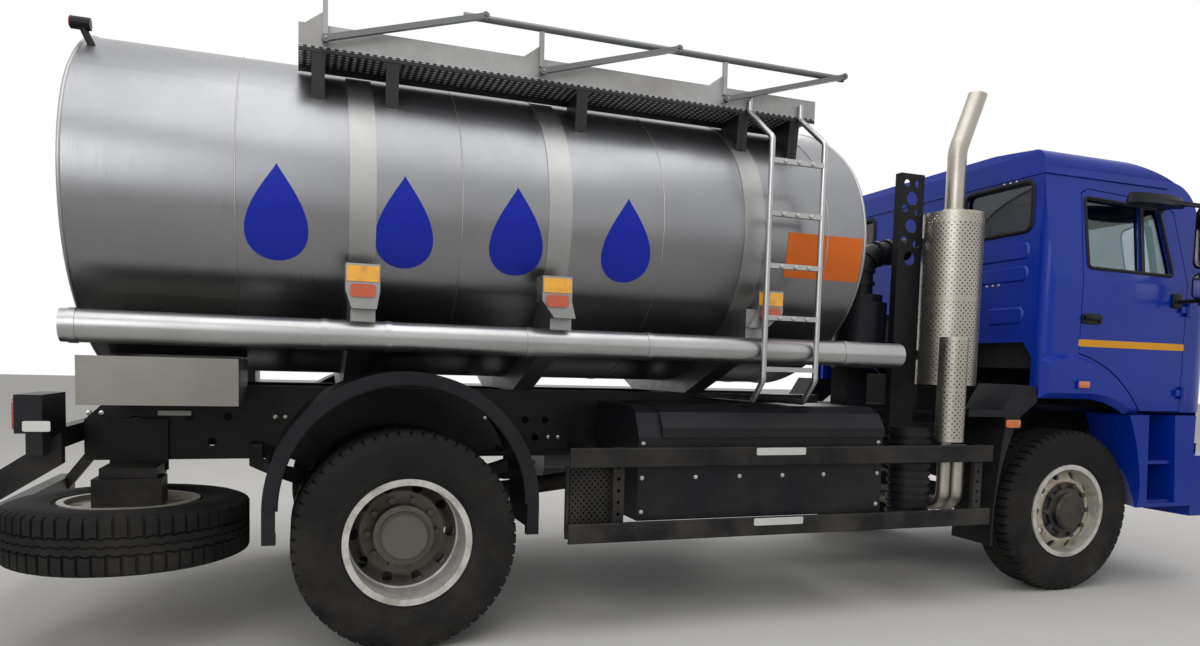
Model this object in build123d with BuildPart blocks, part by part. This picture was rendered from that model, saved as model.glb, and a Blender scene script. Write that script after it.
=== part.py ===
from build123d import *
from math import atan2, cos, degrees, hypot, radians, sin, sqrt
import os

# Two-axle water tanker: cab over engine, elliptical stainless tank, twin rear wheels.
# Millimetres. +X forward, +Y to the vehicle's left, +Z up.
# The origin is on the ground, under the middle of the whole length and width.

os.makedirs("parts", exist_ok=True)

# Chassis layout
WHEELBASE = 4200
FRONT_OVERHANG = 1365
REAR_OVERHANG = 1950
WIDTH = 2500
RA = REAR_OVERHANG - (WHEELBASE + FRONT_OVERHANG + REAR_OVERHANG) / 2   # rear axle
FA = RA + WHEELBASE                                                     # front axle
HALF_WIDTH = WIDTH / 2
SEAT_GAP = 0.3          # gap between pieces that seat on each other
PIN_CLEARANCE = 0.05    # radial clearance of pins in bores

# Wheels
TYRE_R = 522
TYRE_WIDTH = 280
RIM_FLANGE_R = 300
RIM_SEAT_R = 284
RIM_WALL = 14
RIM_INSET = 22
AXLE_Z = TYRE_R
FRONT_TRACK_HALF = HALF_WIDTH - 229
KINGPIN_Y = FRONT_TRACK_HALF - 171
REAR_OUTER_Y = HALF_WIDTH - 150
REAR_INNER_Y = REAR_OUTER_Y - 310
STUD_CIRCLE_R = 167.5
STUD_COUNT = 10
SPINDLE_R = 35
STUB_R = 60

# Frame
RAIL_Y = 432            # outer face of the web
RAIL_BOTTOM = 840
RAIL_TOP = 1130
RAIL_WEB = 9
RAIL_FLANGE = 80
RAIL_REAR = RA - 1480
RAIL_FRONT = FA + 1080
SUBFRAME_HEIGHT = 94
SUBFRAME_WIDTH = 80
SUBFRAME_REAR, SUBFRAME_FRONT = RA - 1400, RA + 2750
SUBFRAME_TOP = RAIL_TOP + SUBFRAME_HEIGHT

# Tank: an oval of four arcs
TANK_HALF_WIDTH = HALF_WIDTH - 125
TANK_HALF_HEIGHT = 830
TANK_CLEAR = 71         # from the subframe up to the tank
TANK_Z = SUBFRAME_TOP + TANK_CLEAR + TANK_HALF_HEIGHT
TANK_TOP = TANK_Z + TANK_HALF_HEIGHT
TANK_SIDE_R = 650
TANK_REAR = RA - 1415
TANK_FRONT = RA + 2550
DISH_STEPS = [(0, 0), (14, -30), (62, -250), (110, -600)]     # depth of the dish, and how far in
BAND_WIDTH = 120
BAND_THICK = 5
BAND_X = [RA - 209, RA + 737, RA + 1832]
HOSE_TUBE_R = 70
HOSE_TUBE_Y = TANK_HALF_WIDTH + 15
HOSE_TUBE_Z = SUBFRAME_TOP + 256
HOSE_TUBE_REAR = RA - 1410
HOSE_TUBE_FRONT = RA + 2804

# Catwalk and folding hand rail
DECK_Z = TANK_TOP - 145
DECK_THICK = 6
DECK_OUTER = TANK_HALF_WIDTH - 165
DECK_INNER = DECK_OUTER - 260
DECK_REAR = RA - 490
DECK_FRONT = RA + 2285
KICK_HEIGHT = 100
POST_X = [RA - 373, RA + 662, RA + 1697]
RAIL_PIVOT_Z = DECK_Z + 26
ARM_RUN = 740
ARM_RISE = 219
RAIL_TUBE_R = 17
ARM_R = 13
POST_SIZE = 22
PIVOT_PIN_R = 6


def tank_oval(grow=0.0):
    """The tank's section in the current sketch: four tangent arcs, larger by grow all round."""
    side_r = TANK_SIDE_R + grow
    side_c = TANK_HALF_WIDTH - TANK_SIDE_R
    rise = TANK_HALF_HEIGHT - TANK_SIDE_R
    drop = (side_c ** 2 - rise ** 2) / (2 * rise)
    turn = atan2(drop, side_c)
    join_y = side_c + side_r * cos(turn)
    join_z = side_r * sin(turn)
    top = TANK_Z + TANK_HALF_HEIGHT + grow
    low = TANK_Z - TANK_HALF_HEIGHT - grow
    edge = TANK_HALF_WIDTH + grow
    with BuildLine() as oval:
        ThreePointArc((-join_y, TANK_Z + join_z), (0, top), (join_y, TANK_Z + join_z))
        ThreePointArc((join_y, TANK_Z + join_z), (edge, TANK_Z), (join_y, TANK_Z - join_z))
        ThreePointArc((join_y, TANK_Z - join_z), (0, low), (-join_y, TANK_Z - join_z))
        ThreePointArc((-join_y, TANK_Z - join_z), (-edge, TANK_Z), (-join_y, TANK_Z + join_z))
    make_face(oval.edges())


def save(builder, name):
    builder.part.label = name
    export_step(builder.part, f"parts/{name}.step")


# Frame: two channel rails with cross members, and the ears of the cab's tilt pivot
PIVOT_X = FA + 1090
PIVOT_Z = 1010
PIVOT_PIN = 15
EAR_Y = RAIL_Y + 8
EAR_THICK = 20
EAR_R = 45
RAIL_HOLE_R = 22
RAIL_HOLES = [(RA + x, z) for x, z in ((-1260, 1040), (-1010, 1060), (-830, 1060), (-905, 930), (640, 1050),
                                      (760, 1050), (880, 1050), (820, 950))]
PAD_X, PAD_Z, PAD_SIZE, PAD_THICK = RA + 2790, 985, 160, 10    # bolting pads on the webs
CROSS_X = [RA - 1380, RA - 560, RA + 560, RA + 1700, RA + 2900, FA + 960]
with BuildPart() as frame_rails:
    with BuildSketch(Plane.YZ.offset(RAIL_REAR)):
        for side in (-1, 1):
            with Locations((side * (RAIL_Y - RAIL_FLANGE / 2), (RAIL_TOP + RAIL_BOTTOM) / 2)):
                Rectangle(RAIL_FLANGE, RAIL_TOP - RAIL_BOTTOM)
            with Locations((side * (RAIL_Y - RAIL_WEB - RAIL_FLANGE / 2), (RAIL_TOP + RAIL_BOTTOM) / 2)):
                Rectangle(RAIL_FLANGE, RAIL_TOP - RAIL_BOTTOM - 2 * RAIL_WEB, mode=Mode.SUBTRACT)
    extrude(amount=RAIL_FRONT - RAIL_REAR)
    with Locations([(x, 0, RAIL_TOP - 130) for x in CROSS_X]):
        Box(100, 2 * (RAIL_Y - RAIL_WEB / 2), 150)
    with BuildSketch(Plane.XZ.offset(-HALF_WIDTH)):
        with Locations([(x, z) for x, z in RAIL_HOLES]):
            Circle(RAIL_HOLE_R)
    extrude(amount=WIDTH, mode=Mode.SUBTRACT)
    with BuildSketch(Plane.XZ.offset(-HALF_WIDTH)):
        with BuildLine():
            Polyline((RAIL_REAR - 10, RAIL_TOP - 100), (RAIL_REAR - 10, RAIL_TOP + 10),
                     (RAIL_REAR + 100, RAIL_TOP + 10), close=True)
        make_face()
    extrude(amount=WIDTH, mode=Mode.SUBTRACT)
    with Locations([(PAD_X, side * (RAIL_Y + PAD_THICK / 2), PAD_Z) for side in (-1, 1)]):
        Box(PAD_SIZE, PAD_THICK, PAD_SIZE)
    for side in (-1, 1):
        with BuildSketch(Plane.XZ.offset(-side * (EAR_Y - EAR_THICK / 2) - EAR_THICK / 2)):
            with Locations((PIVOT_X, PIVOT_Z)):
                Circle(EAR_R)
            with Locations((PIVOT_X - 75, PIVOT_Z - 35)):
                Rectangle(150, 2 * EAR_R)
        extrude(amount=EAR_THICK)
    with BuildSketch(Plane.XZ.offset(-HALF_WIDTH)):
        with Locations((PIVOT_X, PIVOT_Z)):
            Circle(PIVOT_PIN + PIN_CLEARANCE)
    extrude(amount=WIDTH, mode=Mode.SUBTRACT)
save(frame_rails, "frame_rails")

with BuildPart() as subframe:
    for side in (-1, 1):
        with Locations(((SUBFRAME_REAR + SUBFRAME_FRONT) / 2, side * (RAIL_Y - SUBFRAME_WIDTH / 2),
                        RAIL_TOP + SUBFRAME_HEIGHT / 2)):
            Box(SUBFRAME_FRONT - SUBFRAME_REAR, SUBFRAME_WIDTH, SUBFRAME_HEIGHT)
    with Locations([(x, 0, RAIL_TOP + SUBFRAME_HEIGHT / 2) for x in BAND_X]):
        Box(110, 2 * RAIL_Y - SUBFRAME_WIDTH, 70)
save(subframe, "subframe")

# Tank body with dished ends, and the bands round it
with BuildPart() as tank_shell:
    with BuildSketch(Plane.YZ.offset(TANK_REAR)):
        tank_oval()
    extrude(amount=TANK_FRONT - TANK_REAR)
    for base, way in ((TANK_REAR, -1), (TANK_FRONT, 1)):
        for depth, grow in DISH_STEPS:
            with BuildSketch(Plane.YZ.offset(base + way * depth)):
                tank_oval(grow)
        loft(ruled=True)
save(tank_shell, "tank_shell")

with BuildPart() as tank_bands:
    for x in BAND_X:
        with BuildSketch(Plane.YZ.offset(x - BAND_WIDTH / 2)):
            tank_oval(BAND_THICK)
        extrude(amount=BAND_WIDTH)
    with BuildSketch(Plane.YZ.offset(TANK_REAR)):
        tank_oval(SEAT_GAP)
    extrude(amount=TANK_FRONT - TANK_REAR, mode=Mode.SUBTRACT)
save(tank_bands, "tank_bands")

# Cradle arms under each band, out to the lamp holders on the flanks
ARM_WIDTH = 110
CRADLE_Y = TANK_HALF_WIDTH + 40
HOLDER_WIDTH = 150
HOLDER_Z = HOSE_TUBE_Z + 220
HOLDERS = [(RA - 215, 111), (RA + 696, 111), (RA + 1906, 75)]     # place, reach past the tank
with BuildPart() as tank_supports:
    for x in BAND_X:
        with BuildSketch(Plane.YZ.offset(x - ARM_WIDTH / 2)):
            with BuildLine():
                Polyline((-RAIL_Y, SUBFRAME_TOP), (RAIL_Y, SUBFRAME_TOP),
                         (CRADLE_Y, HOSE_TUBE_Z + 20), (CRADLE_Y, HOLDER_Z), (900, HOLDER_Z), (-900, HOLDER_Z),
                         (-CRADLE_Y, HOLDER_Z), (-CRADLE_Y, HOSE_TUBE_Z + 20), close=True)
            make_face()
            with Locations((-HOSE_TUBE_Y, HOSE_TUBE_Z), (HOSE_TUBE_Y, HOSE_TUBE_Z)):
                Circle(HOSE_TUBE_R + SEAT_GAP, mode=Mode.SUBTRACT)
        extrude(amount=ARM_WIDTH)
    for x, (x_holder, reach) in zip(BAND_X, HOLDERS):
        for side in (-1, 1):
            with BuildSketch(Plane.XZ.offset(-side * (CRADLE_Y - 35))):
                with BuildLine():
                    Polyline((x - ARM_WIDTH / 2, HOLDER_Z - 100), (x + ARM_WIDTH / 2, HOLDER_Z - 100),
                             (x_holder + HOLDER_WIDTH / 2, HOLDER_Z - 20), (x_holder + HOLDER_WIDTH / 2, HOLDER_Z + 100),
                             (x_holder - HOLDER_WIDTH / 2, HOLDER_Z + 100), (x_holder - HOLDER_WIDTH / 2, HOLDER_Z - 20),
                             close=True)
                make_face()
            extrude(amount=-side * (TANK_HALF_WIDTH + reach - CRADLE_Y + 35))
    with BuildSketch(Plane.YZ.offset(TANK_REAR)):
        tank_oval(BAND_THICK + SEAT_GAP)
    extrude(amount=TANK_FRONT - TANK_REAR, mode=Mode.SUBTRACT)
save(tank_supports, "tank_supports")

with BuildPart() as side_lamps:
    for x, reach in HOLDERS:
        face = TANK_HALF_WIDTH + reach
        for side in (-1, 1):
            with Locations((x, side * (face + 3), HOLDER_Z + 55)):
                Box(HOLDER_WIDTH - 10, 6, 70)
            with BuildSketch(Plane.XZ.offset(-side * face)):
                with Locations((x, HOLDER_Z - 20)):
                    RectangleRounded(110, 58, 14)
            extrude(amount=-side * 14)
save(side_lamps, "side_lamps")

# Hose tubes along the flanks, with joint rings
RING_X = [RA - 1380, RA - 390, RA - 110, RA + 560, RA + 1200, RA + 2400]
with BuildPart() as hose_tubes:
    for side in (-1, 1):
        with BuildSketch(Plane.YZ.offset(HOSE_TUBE_REAR)):
            with Locations((side * HOSE_TUBE_Y, HOSE_TUBE_Z)):
                Circle(HOSE_TUBE_R)
        extrude(amount=HOSE_TUBE_FRONT - HOSE_TUBE_REAR)
        for x in RING_X:
            with BuildSketch(Plane.YZ.offset(x)):
                with Locations((side * HOSE_TUBE_Y, HOSE_TUBE_Z)):
                    Circle(HOSE_TUBE_R + 4)
            extrude(amount=30)
save(hose_tubes, "hose_tubes")

# Catwalk: deck, kick board, inner flange, struts to the tank, and the hand rail's posts
STRUT_X = [RA - 403, RA - 66, RA + 890, RA + 1832, RA + 2159]
KICK_THICK = 5
POST_Y = DECK_OUTER + KICK_THICK + POST_SIZE / 2
RAIL_REST_Z = RAIL_PIVOT_Z + ARM_RISE
ARM_Y = POST_Y + RAIL_TUBE_R + 6 + ARM_R
PIN_END_Y = ARM_Y + ARM_R + 8
with BuildPart() as catwalk:
    with Locations(((DECK_REAR + DECK_FRONT) / 2, -(DECK_OUTER + DECK_INNER) / 2, DECK_Z - DECK_THICK / 2)):
        Box(DECK_FRONT - DECK_REAR, DECK_OUTER - DECK_INNER, DECK_THICK)
    with Locations(((DECK_REAR + DECK_FRONT) / 2, -DECK_OUTER - KICK_THICK / 2, DECK_Z + KICK_HEIGHT / 2 - 12)):
        Box(DECK_FRONT - DECK_REAR, KICK_THICK, KICK_HEIGHT + 24)
    with Locations(((DECK_REAR + DECK_FRONT) / 2, -DECK_INNER + KICK_THICK / 2, DECK_Z - 18)):
        Box(DECK_FRONT - DECK_REAR, KICK_THICK, 36)
    for x in STRUT_X:
        with BuildSketch(Plane.YZ.offset(x - 4)):
            with BuildLine():
                Polyline((-DECK_OUTER, DECK_Z - 2), (-DECK_INNER, DECK_Z - 2), (-DECK_INNER, DECK_Z - 60),
                         (-DECK_OUTER + 38, DECK_Z - 250), (-DECK_OUTER + 20, DECK_Z - 250), close=True)
            make_face()
        extrude(amount=8)
        with BuildSketch(Plane.YZ.offset(x - 30)):
            with BuildLine():
                Polyline((-DECK_OUTER - 4, DECK_Z - 2), (-DECK_OUTER + 6, DECK_Z - 2),
                         (-DECK_OUTER + 34, DECK_Z - 240), (-DECK_OUTER + 24, DECK_Z - 240), close=True)
            make_face()
        extrude(amount=60)
    with BuildSketch(Plane.YZ.offset(TANK_REAR)):
        tank_oval(SEAT_GAP)
    extrude(amount=TANK_FRONT - TANK_REAR, mode=Mode.SUBTRACT)
    for x in BAND_X:
        with BuildSketch(Plane.YZ.offset(x - BAND_WIDTH / 2 - 5)):
            tank_oval(BAND_THICK + SEAT_GAP)
        extrude(amount=BAND_WIDTH + 10, mode=Mode.SUBTRACT)
    for x in POST_X:
        post_top = RAIL_REST_Z - RAIL_TUBE_R - SEAT_GAP
        post_low = RAIL_PIVOT_Z + 30
        with Locations((x, -POST_Y, (post_top + post_low) / 2)):
            Box(POST_SIZE, POST_SIZE, post_top - post_low)
        with BuildSketch(Plane.XZ.offset(DECK_OUTER)):
            with BuildLine():
                Polyline((x - 95, DECK_Z + KICK_HEIGHT - 5), (x + 12, DECK_Z + KICK_HEIGHT - 5),
                         (x + 12, post_top - 70), (x - 12, post_top - 70), close=True)
            make_face()
        extrude(amount=KICK_THICK)
        with BuildSketch(Plane.XZ.offset(DECK_OUTER)):
            with Locations((x, RAIL_PIVOT_Z)):
                Circle(PIVOT_PIN_R)
        extrude(amount=PIN_END_Y - DECK_OUTER)
        with BuildSketch(Plane.XZ.offset(DECK_OUTER)):
            with Locations((x, RAIL_PIVOT_Z)):
                Circle(16)
        extrude(amount=ARM_Y - ARM_R - 5 - DECK_OUTER)
save(catwalk, "catwalk")

# Folding hand rail: three equal arms and the rail that they carry
ARM_EYE_R = 18
RAIL_EYE_R = 18
for name, x in zip(("rail_arm_rear", "rail_arm_mid", "rail_arm_front"), POST_X):
    with BuildPart() as rail_arm:
        with BuildSketch(Plane.XZ.offset(ARM_Y - ARM_R)):
            for dx, dz in ((0, 0), (ARM_RUN, ARM_RISE)):
                with Locations((x + dx, RAIL_PIVOT_Z + dz)):
                    Circle(ARM_EYE_R)
            with Locations((x + ARM_RUN / 2, RAIL_PIVOT_Z + ARM_RISE / 2)):
                Rectangle(hypot(ARM_RUN, ARM_RISE), 2 * ARM_R, rotation=degrees(atan2(ARM_RISE, ARM_RUN)))
            for dx, dz in ((0, 0), (ARM_RUN, ARM_RISE)):
                with Locations((x + dx, RAIL_PIVOT_Z + dz)):
                    Circle(PIVOT_PIN_R + PIN_CLEARANCE, mode=Mode.SUBTRACT)
        extrude(amount=2 * ARM_R)
    save(rail_arm, name)

HAND_RAIL_REAR = POST_X[0] + ARM_RUN - 100
HAND_RAIL_FRONT = POST_X[2] + ARM_RUN + 20
with BuildPart() as hand_rail:
    with BuildSketch(Plane.YZ.offset(HAND_RAIL_REAR)):
        with Locations((-POST_Y, RAIL_REST_Z)):
            Circle(RAIL_TUBE_R)
    extrude(amount=HAND_RAIL_FRONT - HAND_RAIL_REAR)
    for x in POST_X:
        with BuildSketch(Plane.XZ.offset(POST_Y)):
            with Locations((x + ARM_RUN, RAIL_REST_Z)):
                Circle(PIVOT_PIN_R)
        extrude(amount=PIN_END_Y - POST_Y)
save(hand_rail, "hand_rail")

# Ladder from the catwalk down the flank
LADDER_X = [RA + 1857, RA + 2181]
LADDER_Y = TANK_HALF_WIDTH + 107
LADDER_R = 16
RUNG_Z = [DECK_Z - 330 - 275 * i for i in range(5)]
with BuildPart() as ladder:
    for x in LADDER_X:
        with BuildLine(Plane((x, 0, 0), x_dir=(0, 1, 0), z_dir=(1, 0, 0))) as rail_path:
            FilletPolyline((-DECK_OUTER - KICK_THICK - LADDER_R - SEAT_GAP, DECK_Z + 60),
                           (-DECK_OUTER - KICK_THICK - LADDER_R - SEAT_GAP, DECK_Z - 20), (-LADDER_Y, DECK_Z - 210),
                           (-LADDER_Y, SUBFRAME_TOP + 96), (-LADDER_Y + 102, SUBFRAME_TOP - 22),
                           (-RAIL_Y - SEAT_GAP, SUBFRAME_TOP - 22), radius=35)
        with BuildSketch(Plane(origin=rail_path.line @ 0, z_dir=rail_path.line % 0)):
            Circle(LADDER_R)
        sweep(path=rail_path.line)
    with BuildSketch(Plane.YZ.offset(LADDER_X[0])):
        with Locations([(-LADDER_Y, z) for z in RUNG_Z]):
            Rectangle(26, 26)
    extrude(amount=LADDER_X[1] - LADDER_X[0])
save(ladder, "ladder")

# Manhole neck on the tank, and its hinged lid
MANHOLE_X = RA + 264
MANHOLE_R = 250
MANHOLE_TOP = TANK_TOP + 85
LID_R = 265
LID_THICK = 12
LID_HINGE_X = MANHOLE_X - LID_R - 30
LID_PIN_R = 8
with BuildPart() as manhole_neck:
    with BuildSketch(Plane.XY.offset(MANHOLE_TOP - 150)):
        with Locations((MANHOLE_X, 0)):
            Circle(MANHOLE_R)
            Circle(MANHOLE_R - 8, mode=Mode.SUBTRACT)
    extrude(amount=150)
    for side in (-1, 1):
        with Locations((LID_HINGE_X + 30, side * 45, MANHOLE_TOP - 30)):
            Box(100, 12, 46)
    with BuildSketch(Plane.XZ.offset(-51)):
        with Locations((LID_HINGE_X, MANHOLE_TOP + 10)):
            Circle(LID_PIN_R)
    extrude(amount=102)
    for side in (-1, 1):
        with BuildSketch(Plane.XZ.offset(side * 45 - 6)):
            with Locations((LID_HINGE_X, MANHOLE_TOP + 10)):
                Circle(18)
            with Locations((LID_HINGE_X, MANHOLE_TOP - 20)):
                Rectangle(36, 60)
        extrude(amount=12)
    with BuildSketch(Plane.YZ.offset(TANK_REAR)):
        tank_oval(SEAT_GAP)
    extrude(amount=TANK_FRONT - TANK_REAR, mode=Mode.SUBTRACT)
save(manhole_neck, "manhole_neck")

with BuildPart() as manhole_lid:
    with BuildSketch(Plane.XZ):
        with BuildLine():
            Polyline((MANHOLE_X, MANHOLE_TOP + SEAT_GAP), (MANHOLE_X + LID_R, MANHOLE_TOP + SEAT_GAP),
                     (MANHOLE_X + LID_R, MANHOLE_TOP + LID_THICK), (MANHOLE_X + 120, MANHOLE_TOP + 60),
                     (MANHOLE_X, MANHOLE_TOP + 60), close=True)
        make_face()
    revolve(axis=Axis((MANHOLE_X, 0, 0), (0, 0, 1)))
    with Locations((LID_HINGE_X + 40, 0, MANHOLE_TOP + 10)):
        Box(80, 60, 18)
    with BuildSketch(Plane.XZ.offset(-30)):
        with Locations((LID_HINGE_X, MANHOLE_TOP + 10)):
            Circle(15)
    extrude(amount=60)
    with BuildSketch(Plane.XZ.offset(-60)):
        with Locations((LID_HINGE_X, MANHOLE_TOP + 10)):
            Circle(LID_PIN_R + PIN_CLEARANCE)
    extrude(amount=120, mode=Mode.SUBTRACT)
save(manhole_lid, "manhole_lid")

# Stainless boxes beside the rear of the frame
BOX_REAR, BOX_FRONT = RA - 1360, RA - 735
BOX_LOW, BOX_TOP = SUBFRAME_TOP - 74, SUBFRAME_TOP + 134
BOX_OUTER = TANK_HALF_WIDTH + 25
with BuildPart() as storage_boxes:
    for side in (-1, 1):
        with Locations(((BOX_REAR + BOX_FRONT) / 2, side * (BOX_OUTER + RAIL_Y) / 2, (BOX_LOW + BOX_TOP) / 2)):
            Box(BOX_FRONT - BOX_REAR, BOX_OUTER - RAIL_Y, BOX_TOP - BOX_LOW)
save(storage_boxes, "storage_boxes")

# Mudguards: half-round sheets with a side flange and a rolled edge over the rear wheels,
# and behind the front wheels a flap, a shelf and a sloping cover
GUARD_X = RA - 8
GUARD_R = 632
GUARD_Z = 690
GUARD_SHEET = 8
GUARD_INNER = 668
GUARD_OUTER = HALF_WIDTH - 5
GUARD_LIP = 58
GUARD_ROLL_R = 13
GUARD_SKIRT = 150
STAY_R = 14
SHELF_REAR = FA - 902
with BuildPart() as mudguards:
    for side in (-1, 1):
        axis = Axis((GUARD_X, 0, GUARD_Z), (0, 1, 0))
        with BuildSketch(Plane((GUARD_X, 0, GUARD_Z), x_dir=(1, 0, 0), z_dir=(0, 0, 1))):
            with Locations((GUARD_R - GUARD_SHEET / 2, side * (GUARD_INNER + GUARD_OUTER) / 2)):
                Rectangle(GUARD_SHEET, GUARD_OUTER - GUARD_INNER)
            with Locations((GUARD_R - GUARD_LIP / 2, side * (GUARD_OUTER - GUARD_SHEET / 2))):
                Rectangle(GUARD_LIP, GUARD_SHEET)
            with Locations((GUARD_R - GUARD_ROLL_R, side * (GUARD_OUTER - GUARD_ROLL_R))):
                Circle(GUARD_ROLL_R)
            with Locations((GUARD_R - GUARD_LIP, side * (GUARD_OUTER - GUARD_ROLL_R))):
                Circle(GUARD_ROLL_R - 2)
        revolve(axis=axis, revolution_arc=-180)
        for way in (-1, 1):
            with Locations((GUARD_X + way * (GUARD_R - GUARD_SHEET / 2), side * (GUARD_INNER + GUARD_OUTER) / 2,
                            GUARD_Z - GUARD_SKIRT / 2)):
                Box(GUARD_SHEET, GUARD_OUTER - GUARD_INNER, GUARD_SKIRT)
            with Locations((GUARD_X + way * (GUARD_R - 30), side * (GUARD_OUTER - 20), GUARD_Z - GUARD_SKIRT + 25)):
                Box(60, 40, 50)
            with Locations((GUARD_X + way * (GUARD_R - GUARD_LIP / 2), side * (GUARD_OUTER - GUARD_SHEET / 2),
                            GUARD_Z - GUARD_SKIRT / 2)):
                Box(GUARD_LIP, GUARD_SHEET, GUARD_SKIRT)
    for side in (-1, 1):
        for turn in (18, 162):
            reach = GUARD_R + STAY_R - 4
            with BuildSketch(Plane.XZ.offset(-side * RAIL_Y)):
                with Locations((GUARD_X + reach * cos(radians(turn)), GUARD_Z + reach * sin(radians(turn)))):
                    Circle(STAY_R)
            extrude(amount=-side * (HALF_WIDTH - 60 - RAIL_Y))
    for side in (-1, 1):
        with BuildSketch(Plane.XZ.offset(-side * 1040 - 160)):
            with BuildLine():
                ThreePointArc((FA - 666, 340), (FA - 632, 800), (FA - 545, 1060))
                Line((FA - 545, 1060), (FA - 505, 1130))
                Line((FA - 505, 1130), (FA - 620, 1130))
                Line((FA - 620, 1130), (FA - 620, 1060))
                ThreePointArc((FA - 620, 1060), (FA - 655, 800), (FA - 690, 340))
                Line((FA - 690, 340), (FA - 666, 340))
            make_face()
        extrude(amount=320)
        with BuildSketch(Plane.XZ.offset(-side * 1040 - 155)):
            with BuildLine():
                Polyline((SHELF_REAR, 1130), (FA - 500, 1130), (FA - 372, 1226), (FA - 372, 1300), (FA - 400, 1322),
                         (FA - 540, 1330), (FA - 640, 1172), (SHELF_REAR, 1172), close=True)
            make_face()
        extrude(amount=310)
        for x in (SHELF_REAR + 60, FA - 640):
            with Locations((x, side * (RAIL_Y + 890) / 2, 1100)):
                Box(60, 890 - RAIL_Y, 60)
            with Locations((x, side * 920, 1120)):
                Box(60, 100, 100)
        with BuildSketch(Plane.XZ.offset(-side * 1204 - 7)):
            with Locations((FA - 570, 1090)):
                RectangleRounded(128, 60, 12)
        extrude(amount=14)
save(mudguards, "mudguards")

# Side guards: two bars each side on posts, with arms to the frame
SIDE_BAR_REAR, SIDE_BAR_FRONT = RA + 779, RA + 3450
SIDE_POST_X = [RA + 1050, RA + 3372]
with BuildPart() as side_guards:
    for side in (-1, 1):
        for z in (912, 530):
            with BuildSketch(Plane.YZ.offset(SIDE_BAR_REAR)):
                with Locations((side * (HALF_WIDTH - 17), z)):
                    RectangleRounded(30, 100, 8)
                with Locations((side * (HALF_WIDTH - 32), z)):
                    RectangleRounded(30, 92, 4, mode=Mode.SUBTRACT)
            extrude(amount=SIDE_BAR_FRONT - SIDE_BAR_REAR)
        for x in SIDE_POST_X:
            with BuildSketch(Plane.XZ.offset(-side * (HALF_WIDTH - 47) - 15)):
                with Locations((x, 722)):
                    Rectangle(60, 480)
                with Locations([(x, 620 + 60 * i) for i in range(5)]):
                    Circle(9, mode=Mode.SUBTRACT)
            extrude(amount=30)
            with Locations((x, side * (HALF_WIDTH - 47 + RAIL_Y) / 2, 900)):
                Box(50, HALF_WIDTH - 47 - RAIL_Y, 50)
            with Locations([(x, side * (HALF_WIDTH - 22), z) for z in (530, 912)]):
                Box(70, 30, 70)
save(side_guards, "side_guards")

# Battery and air box on the right, fuel tank on the left, canister behind the exhaust
PACK_REAR, PACK_FRONT = RA + 1166, RA + 2689
PACK_INNER, PACK_OUTER = RAIL_Y + 128, HALF_WIDTH - 50
PACK_LOW, PACK_TOP = 575, 1176
PACK_LID = 1010
with BuildPart() as battery_box:
    with BuildSketch(Plane.YZ.offset(PACK_REAR)):
        with BuildLine():
            Polyline((-PACK_INNER, PACK_LOW), (-PACK_OUTER + 12, PACK_LOW), (-PACK_OUTER + 12, PACK_LID),
                     (-PACK_OUTER + 70, PACK_TOP - 40), (-PACK_OUTER + 140, PACK_TOP - 4), (-PACK_INNER, PACK_TOP - 4),
                     close=True)
        make_face()
    extrude(amount=PACK_FRONT - PACK_REAR)
    with BuildSketch(Plane.YZ.offset(PACK_REAR + 130)):
        with BuildLine():
            Polyline((-PACK_INNER, PACK_LID), (-PACK_OUTER, PACK_LID), (-PACK_OUTER, PACK_LID + 50),
                     (-PACK_OUTER + 60, PACK_TOP - 36), (-PACK_OUTER + 138, PACK_TOP), (-PACK_INNER, PACK_TOP), close=True)
        make_face()
    extrude(amount=PACK_FRONT - PACK_REAR - 130)
    for x in (PACK_REAR + 250, PACK_FRONT - 250):
        with Locations((x, -(PACK_INNER + RAIL_Y) / 2, 960)):
            Box(80, PACK_INNER - RAIL_Y, 200)
save(battery_box, "battery_box")

with BuildPart() as fuel_tank:
    with BuildSketch(Plane.YZ.offset(PACK_REAR)):
        with Locations(((PACK_INNER + PACK_OUTER) / 2, 870)):
            RectangleRounded(PACK_OUTER - PACK_INNER, 600, 90)
    extrude(amount=PACK_FRONT - PACK_REAR)
    for x in (PACK_REAR + 250, PACK_FRONT - 250):
        with Locations((x, (PACK_INNER + RAIL_Y) / 2, 960)):
            Box(80, PACK_INNER - RAIL_Y, 200)
save(fuel_tank, "fuel_tank")

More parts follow.
